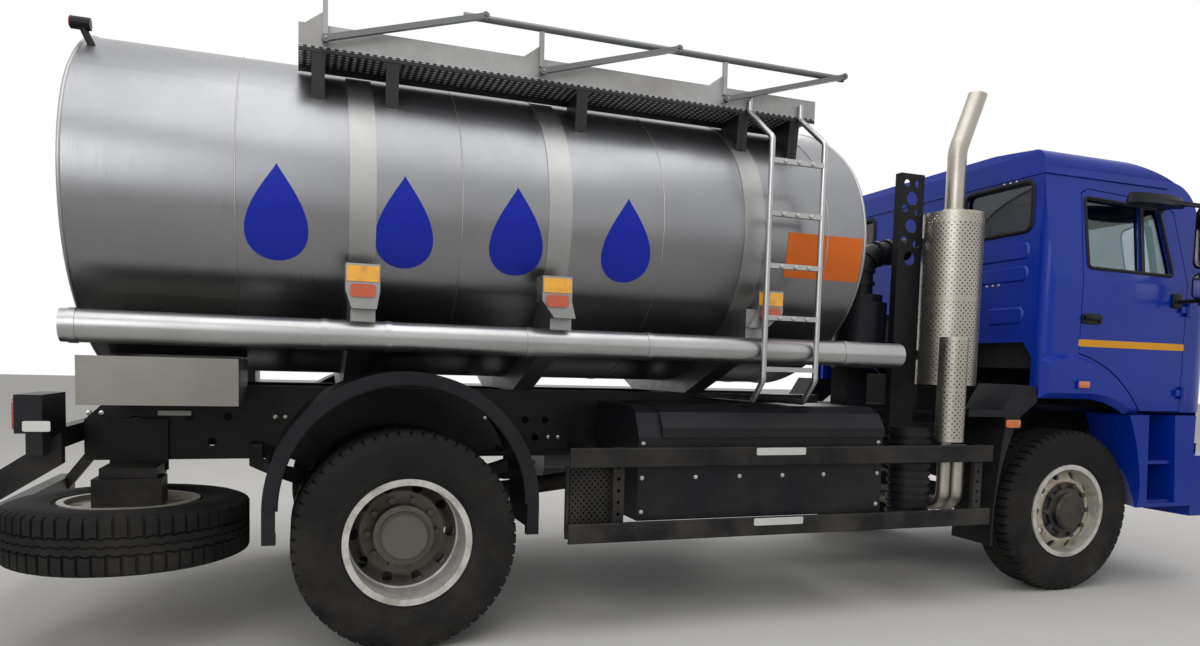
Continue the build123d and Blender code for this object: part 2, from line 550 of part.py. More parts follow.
# Upright exhaust: big perforated guard, slim lower guard and the stack pipe
STACK_X, STACK_Y = RA + 3370, 905
GUARD_DRUM_R = 180
STACK_R = 57
STACK_BEND, STACK_TOP = 2770, 3135
DOWN_X, DOWN_Y, DOWN_R = RA + 3190, 1160, 82
GUARD_LOW, GUARD_HIGH = 1315, 2377
DOWN_LOW, DOWN_HIGH = 980, 1600
GUARD_WALL = 3
PIPE_TOP = DOWN_LOW - 45
DRUM_GAP = 12           # between a guard and the pipe or drum in it
with BuildPart() as exhaust:
    with BuildSketch(Plane((STACK_X, -STACK_Y, 0), x_dir=(1, 0, 0), z_dir=(0, -1, 0))):
        with BuildLine():
            Polyline((0, GUARD_LOW + 20), (100, GUARD_LOW + 20), (GUARD_DRUM_R - DRUM_GAP, GUARD_LOW + 60),
                     (GUARD_DRUM_R - DRUM_GAP, GUARD_HIGH - 60), (STACK_R + 8, GUARD_HIGH + 30), (0, GUARD_HIGH + 30),
                     close=True)
        make_face()
    revolve(axis=Axis((STACK_X, -STACK_Y, 0), (0, 0, 1)))
    with BuildLine(Plane((STACK_X, -STACK_Y, 0), x_dir=(1, 0, 0), z_dir=(0, -1, 0))) as stack_path:
        FilletPolyline((0, GUARD_HIGH), (0, STACK_BEND), (150, STACK_TOP + 40), radius=220)
    with BuildSketch(Plane(origin=stack_path.line @ 0, z_dir=stack_path.line % 0)):
        Circle(STACK_R)
    sweep(path=stack_path.line)
    with Locations((STACK_X + 100, -STACK_Y, STACK_TOP + 100)):
        Box(400, 200, 200, rotation=(0, 8, 0), mode=Mode.SUBTRACT)
    with BuildLine(Plane((STACK_X, -STACK_Y, 0), x_dir=(1, 0, 0), z_dir=(0, -1, 0))) as bore_path:
        Line(stack_path.line @ 1, stack_path.line @ 0.8)
    with BuildSketch(Plane(origin=bore_path.line @ 0, z_dir=bore_path.line % 0)):
        Circle(STACK_R - 3)
    sweep(path=bore_path.line, mode=Mode.SUBTRACT)
    with Locations((DOWN_X, -DOWN_Y, (DOWN_LOW + DOWN_HIGH) / 2)):
        Cylinder(DOWN_R - DRUM_GAP, DOWN_HIGH - DOWN_LOW - 20)
    with Locations(((DOWN_X + STACK_X) / 2, -(DOWN_Y + STACK_Y) / 2, GUARD_LOW + 50)):
        Box(270, 130, 60, rotation=(0, 0, 55))
    for x, radius, start in ((DOWN_X, 38, DOWN_LOW + 40), (DOWN_X + 95, 44, PIPE_TOP)):
        with BuildLine(Plane((x, 0, 0), x_dir=(0, 1, 0), z_dir=(1, 0, 0))) as down_path:
            FilletPolyline((-DOWN_Y + 30, start), (-DOWN_Y + 30, 590), (-RAIL_Y - 150, 560), radius=90)
        with BuildSketch(Plane(origin=down_path.line @ 0, z_dir=down_path.line % 0)):
            Circle(radius)
        sweep(path=down_path.line)
    with Locations((DOWN_X + 50, -DOWN_Y + 30, PIPE_TOP)):
        Box(160, 70, 50)
save(exhaust, "exhaust")

with BuildPart() as exhaust_guards:
    for x, y, radius, low, high in ((STACK_X, -STACK_Y, GUARD_DRUM_R, GUARD_LOW, GUARD_HIGH),
                                    (DOWN_X, -DOWN_Y, DOWN_R, DOWN_LOW, DOWN_HIGH)):
        with BuildSketch(Plane.XY.offset(low)):
            with Locations((x, y)):
                Circle(radius)
                Circle(radius - GUARD_WALL, mode=Mode.SUBTRACT)
        extrude(amount=high - low)
        with BuildSketch(Plane.XY.offset(high - 70)):
            with Locations((x, y)):
                Circle(radius)
                Circle(radius - DRUM_GAP + SEAT_GAP, mode=Mode.SUBTRACT)
        extrude(amount=6)
    with Locations(((DOWN_X + STACK_X) / 2, -(DOWN_Y + STACK_Y) / 2, GUARD_LOW + 50)):
        Box(270 + 2 * SEAT_GAP, 130 + 2 * SEAT_GAP, 60 + 2 * SEAT_GAP, rotation=(0, 0, 55), mode=Mode.SUBTRACT)
save(exhaust_guards, "exhaust_guards")

# Upright frame behind the cab that carries the exhaust: a folded sheet with round holes
FRAME_X0, FRAME_X1, FRAME_TOP = RA + 3020, RA + 3200, 2620
FRAME_Y = 820
FRAME_HOLES = [(50, 60, 22), (130, 60, 22), (92, 150, 42), (40, 215, 24), (140, 235, 24), (92, 320, 42), (45, 410, 24),
               (135, 430, 24), (92, 520, 42)]    # in from the edge, down from the top, radius
with BuildPart() as stack_frame:
    with BuildSketch(Plane.XZ.offset(FRAME_Y)):
        with Locations(((FRAME_X0 + FRAME_X1) / 2, (RAIL_BOTTOM + FRAME_TOP) / 2)):
            Rectangle(FRAME_X1 - FRAME_X0, FRAME_TOP - RAIL_BOTTOM)
        for x, z, radius in FRAME_HOLES:
            with Locations((FRAME_X0 + x, FRAME_TOP - z)):
                Circle(radius, mode=Mode.SUBTRACT)
    extrude(amount=5)
    for x in (FRAME_X0 + 3, FRAME_X1 - 3):
        with Locations((x, -FRAME_Y + 22, (RAIL_BOTTOM + FRAME_TOP) / 2)):
            Box(6, 50, FRAME_TOP - RAIL_BOTTOM)
    with Locations(((FRAME_X0 + FRAME_X1) / 2, -(FRAME_Y + RAIL_Y) / 2, 1000)):
        Box(150, FRAME_Y - RAIL_Y, 80)
    with Locations([(FRAME_X1 + 60, -FRAME_Y + 20, z) for z in (1500, 2200)]):
        Box(130, 40, 60)
    with Locations((STACK_X, -STACK_Y, (GUARD_LOW + GUARD_HIGH) / 2)):
        Cylinder(GUARD_DRUM_R + SEAT_GAP, GUARD_HIGH - GUARD_LOW, mode=Mode.SUBTRACT)
save(stack_frame, "stack_frame")

# Ribbed canister beside the frame; behind the cab the air cleaner with its ribbed duct
CANISTER_X, CANISTER_Y = RA + 3005, 1040
CANISTER_R = 125
CANISTER_LOW, CANISTER_HIGH = 525, 1066
CLEANER_X, CLEANER_Y, CLEANER_R = RA + 2960, 560, 165
with BuildPart() as air_cleaner:
    with Locations((CANISTER_X, -CANISTER_Y, (CANISTER_LOW + CANISTER_HIGH) / 2)):
        Cylinder(CANISTER_R - 10, CANISTER_HIGH - CANISTER_LOW - 20)
    with Locations([(CANISTER_X, -CANISTER_Y, CANISTER_LOW + 25 + 47 * i) for i in range(11)]):
        Cylinder(CANISTER_R, 28)
    with Locations((CANISTER_X - 35, -(CANISTER_Y + RAIL_Y) / 2, 960)):
        Box(60, CANISTER_Y - RAIL_Y, 60)
    with Locations((CLEANER_X, -CLEANER_Y, 1620)):
        Cylinder(CLEANER_R, 420)
    with Locations((CLEANER_X, -CLEANER_Y, 1850)):
        Cylinder(CLEANER_R - 30, 60)
    with BuildLine(Plane((0, -CLEANER_Y, 0), x_dir=(1, 0, 0), z_dir=(0, -1, 0))) as duct_path:
        FilletPolyline((CLEANER_X, 1870), (CLEANER_X, 2130), (CLEANER_X + 330, 2200), radius=120)
    with BuildSketch(Plane(origin=duct_path.line @ 0, z_dir=duct_path.line % 0)):
        Circle(72)
    sweep(path=duct_path.line)
    for share in (0.15, 0.3, 0.45, 0.6, 0.75, 0.9):
        with BuildSketch(Plane(origin=duct_path.line @ share, z_dir=duct_path.line % share)):
            Circle(84)
        extrude(amount=12, both=True)
    with Locations((CLEANER_X, -(CLEANER_Y + RAIL_Y - 40) / 2, (RAIL_TOP + 1420) / 2)):
        Box(160, CLEANER_Y - RAIL_Y + 40, 1420 - RAIL_TOP)
save(air_cleaner, "air_cleaner")

# Tyres and wheels


def tyre_profile(y):
    """Right half of a tyre's section about the wheel's axis, centred on y, in radius and width."""
    half = TYRE_WIDTH / 2
    bead = half - RIM_INSET - SEAT_GAP
    with BuildLine() as section:
        Line((RIM_SEAT_R + 2, y - bead), (RIM_FLANGE_R + 3, y - bead))
        ThreePointArc((RIM_FLANGE_R + 3, y - bead), (TYRE_R - 100, y - half), (TYRE_R - 34, y - half + 12))
        ThreePointArc((TYRE_R - 34, y - half + 12), (TYRE_R - 10, y - half + 18), (TYRE_R, y - half + 34))
        Line((TYRE_R, y - half + 34), (TYRE_R, y + half - 34))
        ThreePointArc((TYRE_R, y + half - 34), (TYRE_R - 10, y + half - 18), (TYRE_R - 34, y + half - 12))
        ThreePointArc((TYRE_R - 34, y + half - 12), (TYRE_R - 100, y + half), (RIM_FLANGE_R + 3, y + bead))
        Line((RIM_FLANGE_R + 3, y + bead), (RIM_SEAT_R + 2, y + bead))
        Line((RIM_SEAT_R + 2, y + bead), (RIM_SEAT_R + 2, y - bead))
    make_face(section.edges())


def tyre_node(name, x, ys):
    axis = Axis((x, 0, AXLE_Z), (0, 1, 0))
    with BuildPart() as tyre:
        for y in ys:
            with BuildSketch(Plane((x, 0, AXLE_Z), x_dir=(1, 0, 0), z_dir=(0, 0, 1))):
                tyre_profile(y)
            revolve(axis=axis)
    save(tyre, name)


def rim_points(y, half):
    """A rim's section: seat, wall and disc, in radius and width."""
    return [(RIM_SEAT_R + 1.5, y - half), (RIM_FLANGE_R, y - half), (RIM_FLANGE_R, y - half - 10),
            (RIM_SEAT_R - RIM_WALL, y - half - 10), (RIM_SEAT_R - RIM_WALL, y + half + 10),
            (RIM_FLANGE_R, y + half + 10), (RIM_FLANGE_R, y + half), (RIM_SEAT_R + 1.5, y + half)]


HUB_R, HUB_CAP_R = 146, 120


def wheel_node(name, x, side, ys, discs, hub_from, hub_to, bore_r, bore_to):
    """Rims, discs and hub of one wheel position; side is -1 for the right."""
    axis = Axis((x, 0, AXLE_Z), (0, 1, 0))
    base = Plane((x, 0, AXLE_Z), x_dir=(1, 0, 0), z_dir=(0, 0, 1))
    half = TYRE_WIDTH / 2 - RIM_INSET
    with BuildPart() as wheel:
        for y in ys:
            with BuildSketch(base):
                with BuildLine():
                    Polyline(*rim_points(side * y, half), close=True)
                make_face()
            revolve(axis=axis)
        for y_rim, y_face in discs:
            with BuildSketch(base):
                with BuildLine():
                    Polyline((RIM_SEAT_R - RIM_WALL / 2, side * y_rim), (200, side * y_face), (60, side * y_face),
                             (60, side * (y_face + 12)), (205, side * (y_face + 12)),
                             (RIM_SEAT_R - RIM_WALL / 2, side * (y_rim + 14)), close=True)
                make_face()
            revolve(axis=axis)
            with BuildSketch(Plane((x, side * (min(y_rim, y_face) - 20), AXLE_Z), x_dir=(1, 0, 0), z_dir=(0, side, 0))):
                with PolarLocations(232, STUD_COUNT):
                    Circle(26)
            extrude(amount=abs(y_rim - y_face) + 50, mode=Mode.SUBTRACT)
        with BuildSketch(base):
            with BuildLine():
                Polyline((0, side * hub_from), (HUB_R, side * hub_from), (HUB_R, side * (hub_to - 46)),
                         (HUB_CAP_R, side * (hub_to - 40)), (HUB_CAP_R, side * (hub_to - 12)),
                         (HUB_CAP_R - 14, side * hub_to), (0, side * hub_to), close=True)
            make_face()
        revolve(axis=axis)
        with BuildSketch(Plane((x, side * (discs[-1][1] + 20), AXLE_Z), x_dir=(1, 0, 0), z_dir=(0, -1, 0))):
            with PolarLocations(STUD_CIRCLE_R, STUD_COUNT):
                RegularPolygon(17, 6)
        extrude(amount=22, both=True)
        with BuildSketch(base):
            with Locations((bore_r / 2, side * (hub_from - 10 + bore_to) / 2)):
                Rectangle(bore_r, bore_to - hub_from + 10)
        revolve(axis=axis, mode=Mode.SUBTRACT)
    save(wheel, name)


for label, side in (("right", -1), ("left", 1)):
    tyre_node(f"tyre_front_{label}", FA, [side * FRONT_TRACK_HALF])
    tyre_node(f"tyres_rear_{label}", RA, [side * REAR_OUTER_Y, side * REAR_INNER_Y])
    wheel_node(f"wheel_front_{label}", FA, side, [FRONT_TRACK_HALF], [(FRONT_TRACK_HALF + 29, FRONT_TRACK_HALF + 79)],
               FRONT_TRACK_HALF - 86, FRONT_TRACK_HALF + 154, SPINDLE_R + PIN_CLEARANCE, FRONT_TRACK_HALF + 114)
    wheel_node(f"wheels_rear_{label}", RA, side, [REAR_INNER_Y, REAR_OUTER_Y],
               [(REAR_INNER_Y + 80, REAR_INNER_Y + 142), (REAR_OUTER_Y - 100, REAR_OUTER_Y - 155)],
               REAR_INNER_Y - 90, REAR_OUTER_Y - 10, STUB_R + PIN_CLEARANCE, REAR_OUTER_Y - 55)

# Knuckles: a fork on the axle's boss, with the wheel's spindle
BOSS_R = 50
BOSS_LOW, BOSS_TOP = 460, 584
KINGPIN_R = 20
EAR_GAP = 5
for label, side in (("right", -1), ("left", 1)):
    with BuildPart() as knuckle:
        for z in (BOSS_TOP + EAR_GAP + 12, BOSS_LOW - EAR_GAP - 12):
            with Locations((FA, side * KINGPIN_Y, z)):
                Cylinder(BOSS_R - 5, 24)
            with Locations((FA, side * (KINGPIN_Y + 35), z)):
                Box(70, 70, 24)
        with Locations((FA, side * KINGPIN_Y, (BOSS_LOW + BOSS_TOP) / 2)):
            Cylinder(KINGPIN_R, BOSS_TOP - BOSS_LOW + 40)
        with Locations((FA, side * (KINGPIN_Y + 66), AXLE_Z)):
            Box(90, 20, 190)
        with BuildSketch(Plane.XZ.offset(-side * (KINGPIN_Y + 60))):
            with Locations((FA, AXLE_Z)):
                Circle(SPINDLE_R)
        extrude(amount=-side * 220)
    save(knuckle, f"knuckle_{label}")

# Front axle beam with leaf springs
FRONT_SPRING_Y = RAIL_Y - 32
with BuildPart() as front_axle:
    with Locations((FA, 0, 500)):
        Box(110, 2 * KINGPIN_Y - 60, 90)
    for side in (-1, 1):
        with Locations((FA, side * KINGPIN_Y, (BOSS_LOW + BOSS_TOP) / 2)):
            Cylinder(BOSS_R, BOSS_TOP - BOSS_LOW)
            Cylinder(KINGPIN_R + PIN_CLEARANCE, BOSS_TOP - BOSS_LOW, mode=Mode.SUBTRACT)
        with Locations((FA, side * FRONT_SPRING_Y, 590)):
            Box(220, 90, 90)
        with Locations((FA - 690, side * FRONT_SPRING_Y, 820), (FA + 690, side * FRONT_SPRING_Y, 820)):
            Box(60, 90, 40)
        with BuildSketch(Plane.XZ.offset(-side * FRONT_SPRING_Y - 45)):
            with BuildLine():
                ThreePointArc((FA - 700, 790), (FA, 605), (FA + 700, 790))
                Line((FA + 700, 790), (FA + 700, 840))
                ThreePointArc((FA + 700, 840), (FA, 680), (FA - 700, 840))
                Line((FA - 700, 840), (FA - 700, 790))
            make_face()
        extrude(amount=90)
save(front_axle, "front_axle")

SPRING_Y = RAIL_Y + 108
STUB_END = REAR_OUTER_Y - 60
DIFF_R = 220
HOUSING_END = REAR_INNER_Y - 150
with BuildPart() as rear_axle:
    with BuildSketch(Plane.XZ.offset(-STUB_END)):
        with Locations((RA, AXLE_Z)):
            Circle(STUB_R)
    extrude(amount=2 * STUB_END)
    with BuildSketch(Plane.XZ.offset(-HOUSING_END)):
        with Locations((RA, AXLE_Z)):
            Circle(85)
    extrude(amount=2 * HOUSING_END)
    with Locations((RA, 0, AXLE_Z)):
        Sphere(DIFF_R)
    for side in (-1, 1):
        with Locations((RA, side * SPRING_Y, 620)):
            Box(220, 90, 60)
        with BuildSketch(Plane.XZ.offset(-side * SPRING_Y - 45)):
            with BuildLine():
                ThreePointArc((RA - 720, 820), (RA, 640), (RA + 720, 820))
                Line((RA + 720, 820), (RA + 720, 870))
                ThreePointArc((RA + 720, 870), (RA, 730), (RA - 720, 870))
                Line((RA - 720, 870), (RA - 720, 820))
            make_face()
        extrude(amount=90)
        for x in (RA - 690, RA + 690):
            with Locations((x, side * (SPRING_Y - 45 + RAIL_Y) / 2, 890)):
                Box(60, SPRING_Y - 45 - RAIL_Y, 80)
            with Locations((x, side * SPRING_Y, 890)):
                Box(60, 90, 80)
save(rear_axle, "rear_axle")

# Engine and gearbox as one block, with the shaft that ends at the rear axle's housing
GEARBOX_REAR, GEARBOX_Z = FA - 1140, 850
SHAFT_SLOPE = atan2(GEARBOX_Z - AXLE_Z, GEARBOX_REAR - RA - DIFF_R)
SHAFT_START = RA + (DIFF_R + SEAT_GAP) / cos(SHAFT_SLOPE)
with BuildPart() as driveline:
    with Locations((FA - 60, 0, 1040)):
        Box(1000, 680, 680)
    with Locations((FA - 800, 0, 950)):
        Box(700, 420, 420)
    with BuildLine() as shaft_path:
        Line((SHAFT_START, 0, AXLE_Z), (GEARBOX_REAR, 0, GEARBOX_Z))
    with BuildSketch(Plane(origin=shaft_path.line @ 0, z_dir=shaft_path.line % 0)):
        Circle(55)
    sweep(path=shaft_path.line)
save(driveline, "driveline")

# Spare wheel lying flat under the tail, with its carrier
SPARE_X, SPARE_Y, SPARE_Z = RA - 1235, 700, 555
with BuildPart() as spare_tyre:
    with BuildSketch(Plane((SPARE_X, -SPARE_Y, SPARE_Z), x_dir=(1, 0, 0), z_dir=(0, -1, 0))):
        tyre_profile(0)
    revolve(axis=Axis((SPARE_X, -SPARE_Y, 0), (0, 0, 1)))
save(spare_tyre, "spare_tyre")

with BuildPart() as spare_wheel:
    with BuildSketch(Plane((SPARE_X, -SPARE_Y, SPARE_Z), x_dir=(1, 0, 0), z_dir=(0, -1, 0))):
        with BuildLine():
            Polyline(*rim_points(0, TYRE_WIDTH / 2 - RIM_INSET), close=True)
        make_face()
    revolve(axis=Axis((SPARE_X, -SPARE_Y, 0), (0, 0, 1)))
    with BuildSketch(Plane.XY.offset(SPARE_Z + 90)):
        with Locations((SPARE_X, -SPARE_Y)):
            Circle(RIM_SEAT_R - RIM_WALL / 2)
            with PolarLocations(225, STUD_COUNT):
                Circle(26, mode=Mode.SUBTRACT)
    extrude(amount=14)
save(spare_wheel, "spare_wheel")

with BuildPart() as spare_carrier:
    with Locations((SPARE_X, -SPARE_Y, SPARE_Z + 104 + 65)):
        Box(290, 200, 130)
    with Locations((SPARE_X, -(RAIL_Y + SPARE_Y + 60) / 2, SPARE_Z + 250)):
        Box(240, SPARE_Y + 60 - RAIL_Y, 60)
    with Locations((SPARE_X, -RAIL_Y - 15, 920)):
        Box(260, 30, 260)
save(spare_carrier, "spare_carrier")

# Tail: lamp beam, lamps and the underrun bar on its arms
BEAM_X = RAIL_REAR - 30
with BuildPart() as underrun:
    with Locations((BEAM_X, 0, 985)):
        Box(60, 2300, 90)
    with Locations((RA - REAR_OVERHANG + 40, 0, 520)):
        Box(80, 2340, 120)
    for side in (-1, 1):
        with BuildSketch(Plane.XZ.offset(-side * 1000 - 30)):
            with BuildLine():
                Polyline((RA - 1440, 1025), (RA - 1672, 864), (RA - 1890, 570), (RA - 1890, 470),
                         (RA - 1700, 720), (RA - 1440, 890), close=True)
            make_face()
        extrude(amount=60)
save(underrun, "underrun")

with BuildPart() as tail_lamps:
    for side in (-1, 1):
        with Locations((BEAM_X - 20, side * 960, 1110)):
            Box(100, 380, 160)
    with BuildSketch(Plane(origin=(RA - 1362, -700, TANK_TOP - 215), z_dir=(-0.42, 0, 0.91))):
        Circle(16)
    extrude(amount=130)
    with BuildSketch(Plane(origin=(RA - 1413, -700, TANK_TOP - 105), z_dir=(-1, 0, 0))):
        Circle(28)
    extrude(amount=40, both=True)
    with BuildSketch(Plane.YZ.offset(TANK_REAR)):
        tank_oval(SEAT_GAP)
    extrude(amount=TANK_FRONT - TANK_REAR, mode=Mode.SUBTRACT)
save(tail_lamps, "tail_lamps")

# Front bumper with the step units at its ends
BUMPER_FRONT = FA + FRONT_OVERHANG
LAMP_Y, LAMP_Z = 800, 690
LAMP_DEPTH, LAMP_WIDE, LAMP_HIGH = 80, 330, 170
CAB_HALF = HALF_WIDTH - 50
STEP_Y = CAB_HALF + 30
STEP_TOP = 1150
STEP_LOW = 541
STEER_BALL_R = hypot(TYRE_R, FRONT_TRACK_HALF + TYRE_WIDTH / 2 - KINGPIN_Y) + 12
with BuildPart() as front_bumper:
    with BuildSketch(Plane.XY.offset(470)):
        with BuildLine():
            Polyline((FA + 1130, 0), (FA + 1130, STEP_Y - 330), (FA + 1000, STEP_Y - 330), (FA + 1000, STEP_Y),
                     (FA + 1130, STEP_Y))
            ThreePointArc((FA + 1130, STEP_Y), (FA + 1280, STEP_Y - 70), (BUMPER_FRONT - 25, STEP_Y - 270))
            ThreePointArc((BUMPER_FRONT - 25, STEP_Y - 270), (BUMPER_FRONT - 6, STEP_Y - 700), (BUMPER_FRONT, 0))
            Line((BUMPER_FRONT, 0), (FA + 1130, 0))
        make_face()
        mirror(about=Plane.XZ)
    extrude(amount=410)
    with BuildSketch(Plane.XY.offset(880)):
        with BuildLine():
            Polyline((FA + 1235, 0), (FA + 1235, STEP_Y - 150), (BUMPER_FRONT - 60, STEP_Y - 290),
                     (BUMPER_FRONT - 45, 0), close=True)
        make_face()
        mirror(about=Plane.XZ)
    extrude(amount=70)
    with Locations((FA + 1100, -RAIL_Y - 25, 800), (FA + 1100, RAIL_Y + 25, 800)):
        Box(200, 50, 160)
    with Locations([(BUMPER_FRONT - 20 - SEAT_GAP / 2, side * LAMP_Y, LAMP_Z) for side in (-1, 1)]):
        Box(LAMP_DEPTH + 40 + SEAT_GAP, LAMP_WIDE + 2 * SEAT_GAP, LAMP_HIGH + 2 * SEAT_GAP, mode=Mode.SUBTRACT)
    with BuildSketch(Plane.YZ.offset(BUMPER_FRONT + 10)):
        with Locations((0, 600)):
            SlotOverall(760, 110)
        with Locations((0, 780)):
            SlotOverall(860, 90)
    extrude(amount=-60, mode=Mode.SUBTRACT)
save(front_bumper, "front_bumper")

with BuildPart() as headlamps:
    for side in (-1, 1):
        with Locations((BUMPER_FRONT - LAMP_DEPTH / 2 - 20, side * LAMP_Y, LAMP_Z)):
            Box(LAMP_DEPTH - 40, LAMP_WIDE, LAMP_HIGH)
save(headlamps, "headlamps")

# Step units: a curved rear edge round the arch, an open well and two treads in it
WELL_REAR, WELL_FRONT = FA + 560, FA + 800
WELL_DEPTH = 210
TREADS = [(572, 22), (836, 22)]      # height, thickness
with BuildPart() as step_units:
    for side in (-1, 1):
        with BuildSketch(Plane.XZ.offset(-side * STEP_Y)):
            with BuildLine():
                ThreePointArc((FA + 385, STEP_TOP), (FA + 482, 890), (FA + 520, 640))
                Polyline((FA + 520, 640), (FA + 502, STEP_LOW), (FA + 999, STEP_LOW), (FA + 999, STEP_TOP),
                         (FA + 385, STEP_TOP))
            make_face()
        extrude(amount=side * 330)
    for side in (-1, 1):
        with BuildSketch(Plane.XZ.offset(-side * (STEP_Y + 10))):
            with BuildLine():
                Polyline((WELL_REAR, STEP_TOP + 10), (WELL_REAR + 30, STEP_LOW + 25), (WELL_FRONT + 50, STEP_LOW + 25),
                         (WELL_FRONT, STEP_TOP + 10), close=True)
            make_face()
        extrude(amount=side * (WELL_DEPTH + 10), mode=Mode.SUBTRACT)
    for side in (-1, 1):
        for z, thick in TREADS:
            with Locations(((WELL_REAR + WELL_FRONT) / 2 + 20, side * (STEP_Y - 25 - (WELL_DEPTH - 20) / 2), z)):
                Box(WELL_FRONT - WELL_REAR + 60, WELL_DEPTH - 20, thick)
        with Locations((FA + 900, side * (STEP_Y - 320 + RAIL_Y) / 2, 900)):
            Box(80, STEP_Y - 320 - RAIL_Y, 80)
        with Locations((FA, side * KINGPIN_Y, AXLE_Z)):
            Sphere(STEER_BALL_R, mode=Mode.SUBTRACT)
save(step_units, "step_units")

# Cab: outer form cut from side, plan and front outlines, then hollowed and split into panels
CAB_REAR = FA - 350
CAB_FRONT = FA + 1210
CAB_WALL = 50
CAB_LOW = 980
CAB_ROOF = 2860
BELT_Z = 2000
SHOULDER_Z = 2690
TUMBLE = 72             # how far the sides lean in, from the belt to the shoulder
SHOULDER_IN = 165       # from the side to where the roof's crown begins
CROWN_DROP = 60
REAR_CORNER_R = 75
FRONT_CORNER_R = 230
DOOR_REAR = FA - 54
DOOR_FRONT = FA + 866
DOOR_LOW = 1177
DOOR_TOP = 2570
DOOR_CORNER_Z = 1537
DOOR_GAP = 6
ROOF_SEAM = 2640
FLOOR_HIGH = 1440
FLOOR_REAR = 1620       # the floor's step up behind the seats
FLOOR_THICK = 50
TUNNEL_HALF, TUNNEL_TOP = 430, 1860


def cab_solid(inset):
    """The cab's outer form, smaller by inset all round, as a separate solid."""
    rear, front, roof, half = CAB_REAR + inset, CAB_FRONT - inset, CAB_ROOF - inset, CAB_HALF - inset
    with BuildPart() as form:
        with BuildSketch(Plane.XZ.offset(-CAB_HALF)):
            with BuildLine():
                Polyline((rear + 55, roof - 6), (rear + 14, roof - 28), (rear, roof - 80), (rear, CAB_LOW + inset),
                         (front, CAB_LOW + inset), (front, 1500), (front - 60, 1950), (FA + 985 - inset, 2470))
                ThreePointArc((FA + 985 - inset, 2470), (FA + 925 - inset, 2610 - inset * 0.8), (FA + 790 - inset * 0.5, roof - 175))
                ThreePointArc((FA + 790 - inset * 0.5, roof - 175), (FA + 300, roof - 52), (rear + 55, roof - 6))
            make_face()
        extrude(amount=2 * CAB_HALF)
        with BuildSketch(Plane.XY.offset(900)) as plan:
            with Locations(((rear + front) / 2, 0)):
                Rectangle(front - rear, 2 * half)
            fillet(plan.vertices().sort_by(Axis.X)[:2], REAR_CORNER_R - inset)
            fillet(plan.vertices().sort_by(Axis.X)[-2:], FRONT_CORNER_R - inset)
        extrude(amount=2200, mode=Mode.INTERSECT)
        with BuildSketch(Plane.YZ.offset(CAB_REAR - 10)):
            with BuildLine():
                Line((-half, 900), (-half, BELT_Z))
                Line((-half, BELT_Z), (-half + TUMBLE, SHOULDER_Z))
                ThreePointArc((-half + TUMBLE, SHOULDER_Z), (-half + TUMBLE + 24, roof - CROWN_DROP - 25),
                              (-half + SHOULDER_IN, roof - CROWN_DROP))
                ThreePointArc((-half + SHOULDER_IN, roof - CROWN_DROP), (0, roof), (half - SHOULDER_IN, roof - CROWN_DROP))
                ThreePointArc((half - SHOULDER_IN, roof - CROWN_DROP), (half - TUMBLE - 24, roof - CROWN_DROP - 25),
                              (half - TUMBLE, SHOULDER_Z))
                Line((half - TUMBLE, SHOULDER_Z), (half, BELT_Z))
                Line((half, BELT_Z), (half, 900))
                Line((half, 900), (-half, 900))
            make_face()
        extrude(amount=CAB_FRONT - CAB_REAR + 20, mode=Mode.INTERSECT)
    return form.part


def door_outline(grow):
    """The door's outline on the side of the cab, larger by grow, in the current sketch."""
    with BuildLine() as outline:
        Polyline((DOOR_REAR - grow, DOOR_CORNER_Z - grow), (DOOR_REAR - grow, 2540 + grow),
                 (DOOR_REAR + 50, DOOR_TOP + grow), (DOOR_FRONT - 190, DOOR_TOP - 30 + grow),
                 (DOOR_FRONT - 110 + grow, DOOR_TOP - 90 + grow), (DOOR_FRONT + grow, BELT_Z + 30),
                 (DOOR_FRONT + grow, DOOR_LOW - grow), (FA + 502 - grow, DOOR_LOW - grow))
        ThreePointArc((FA + 502 - grow, DOOR_LOW - grow), (FA + 310 - grow, 1377 - grow),
                      (DOOR_REAR - grow, DOOR_CORNER_Z - grow))
    make_face(outline.edges())


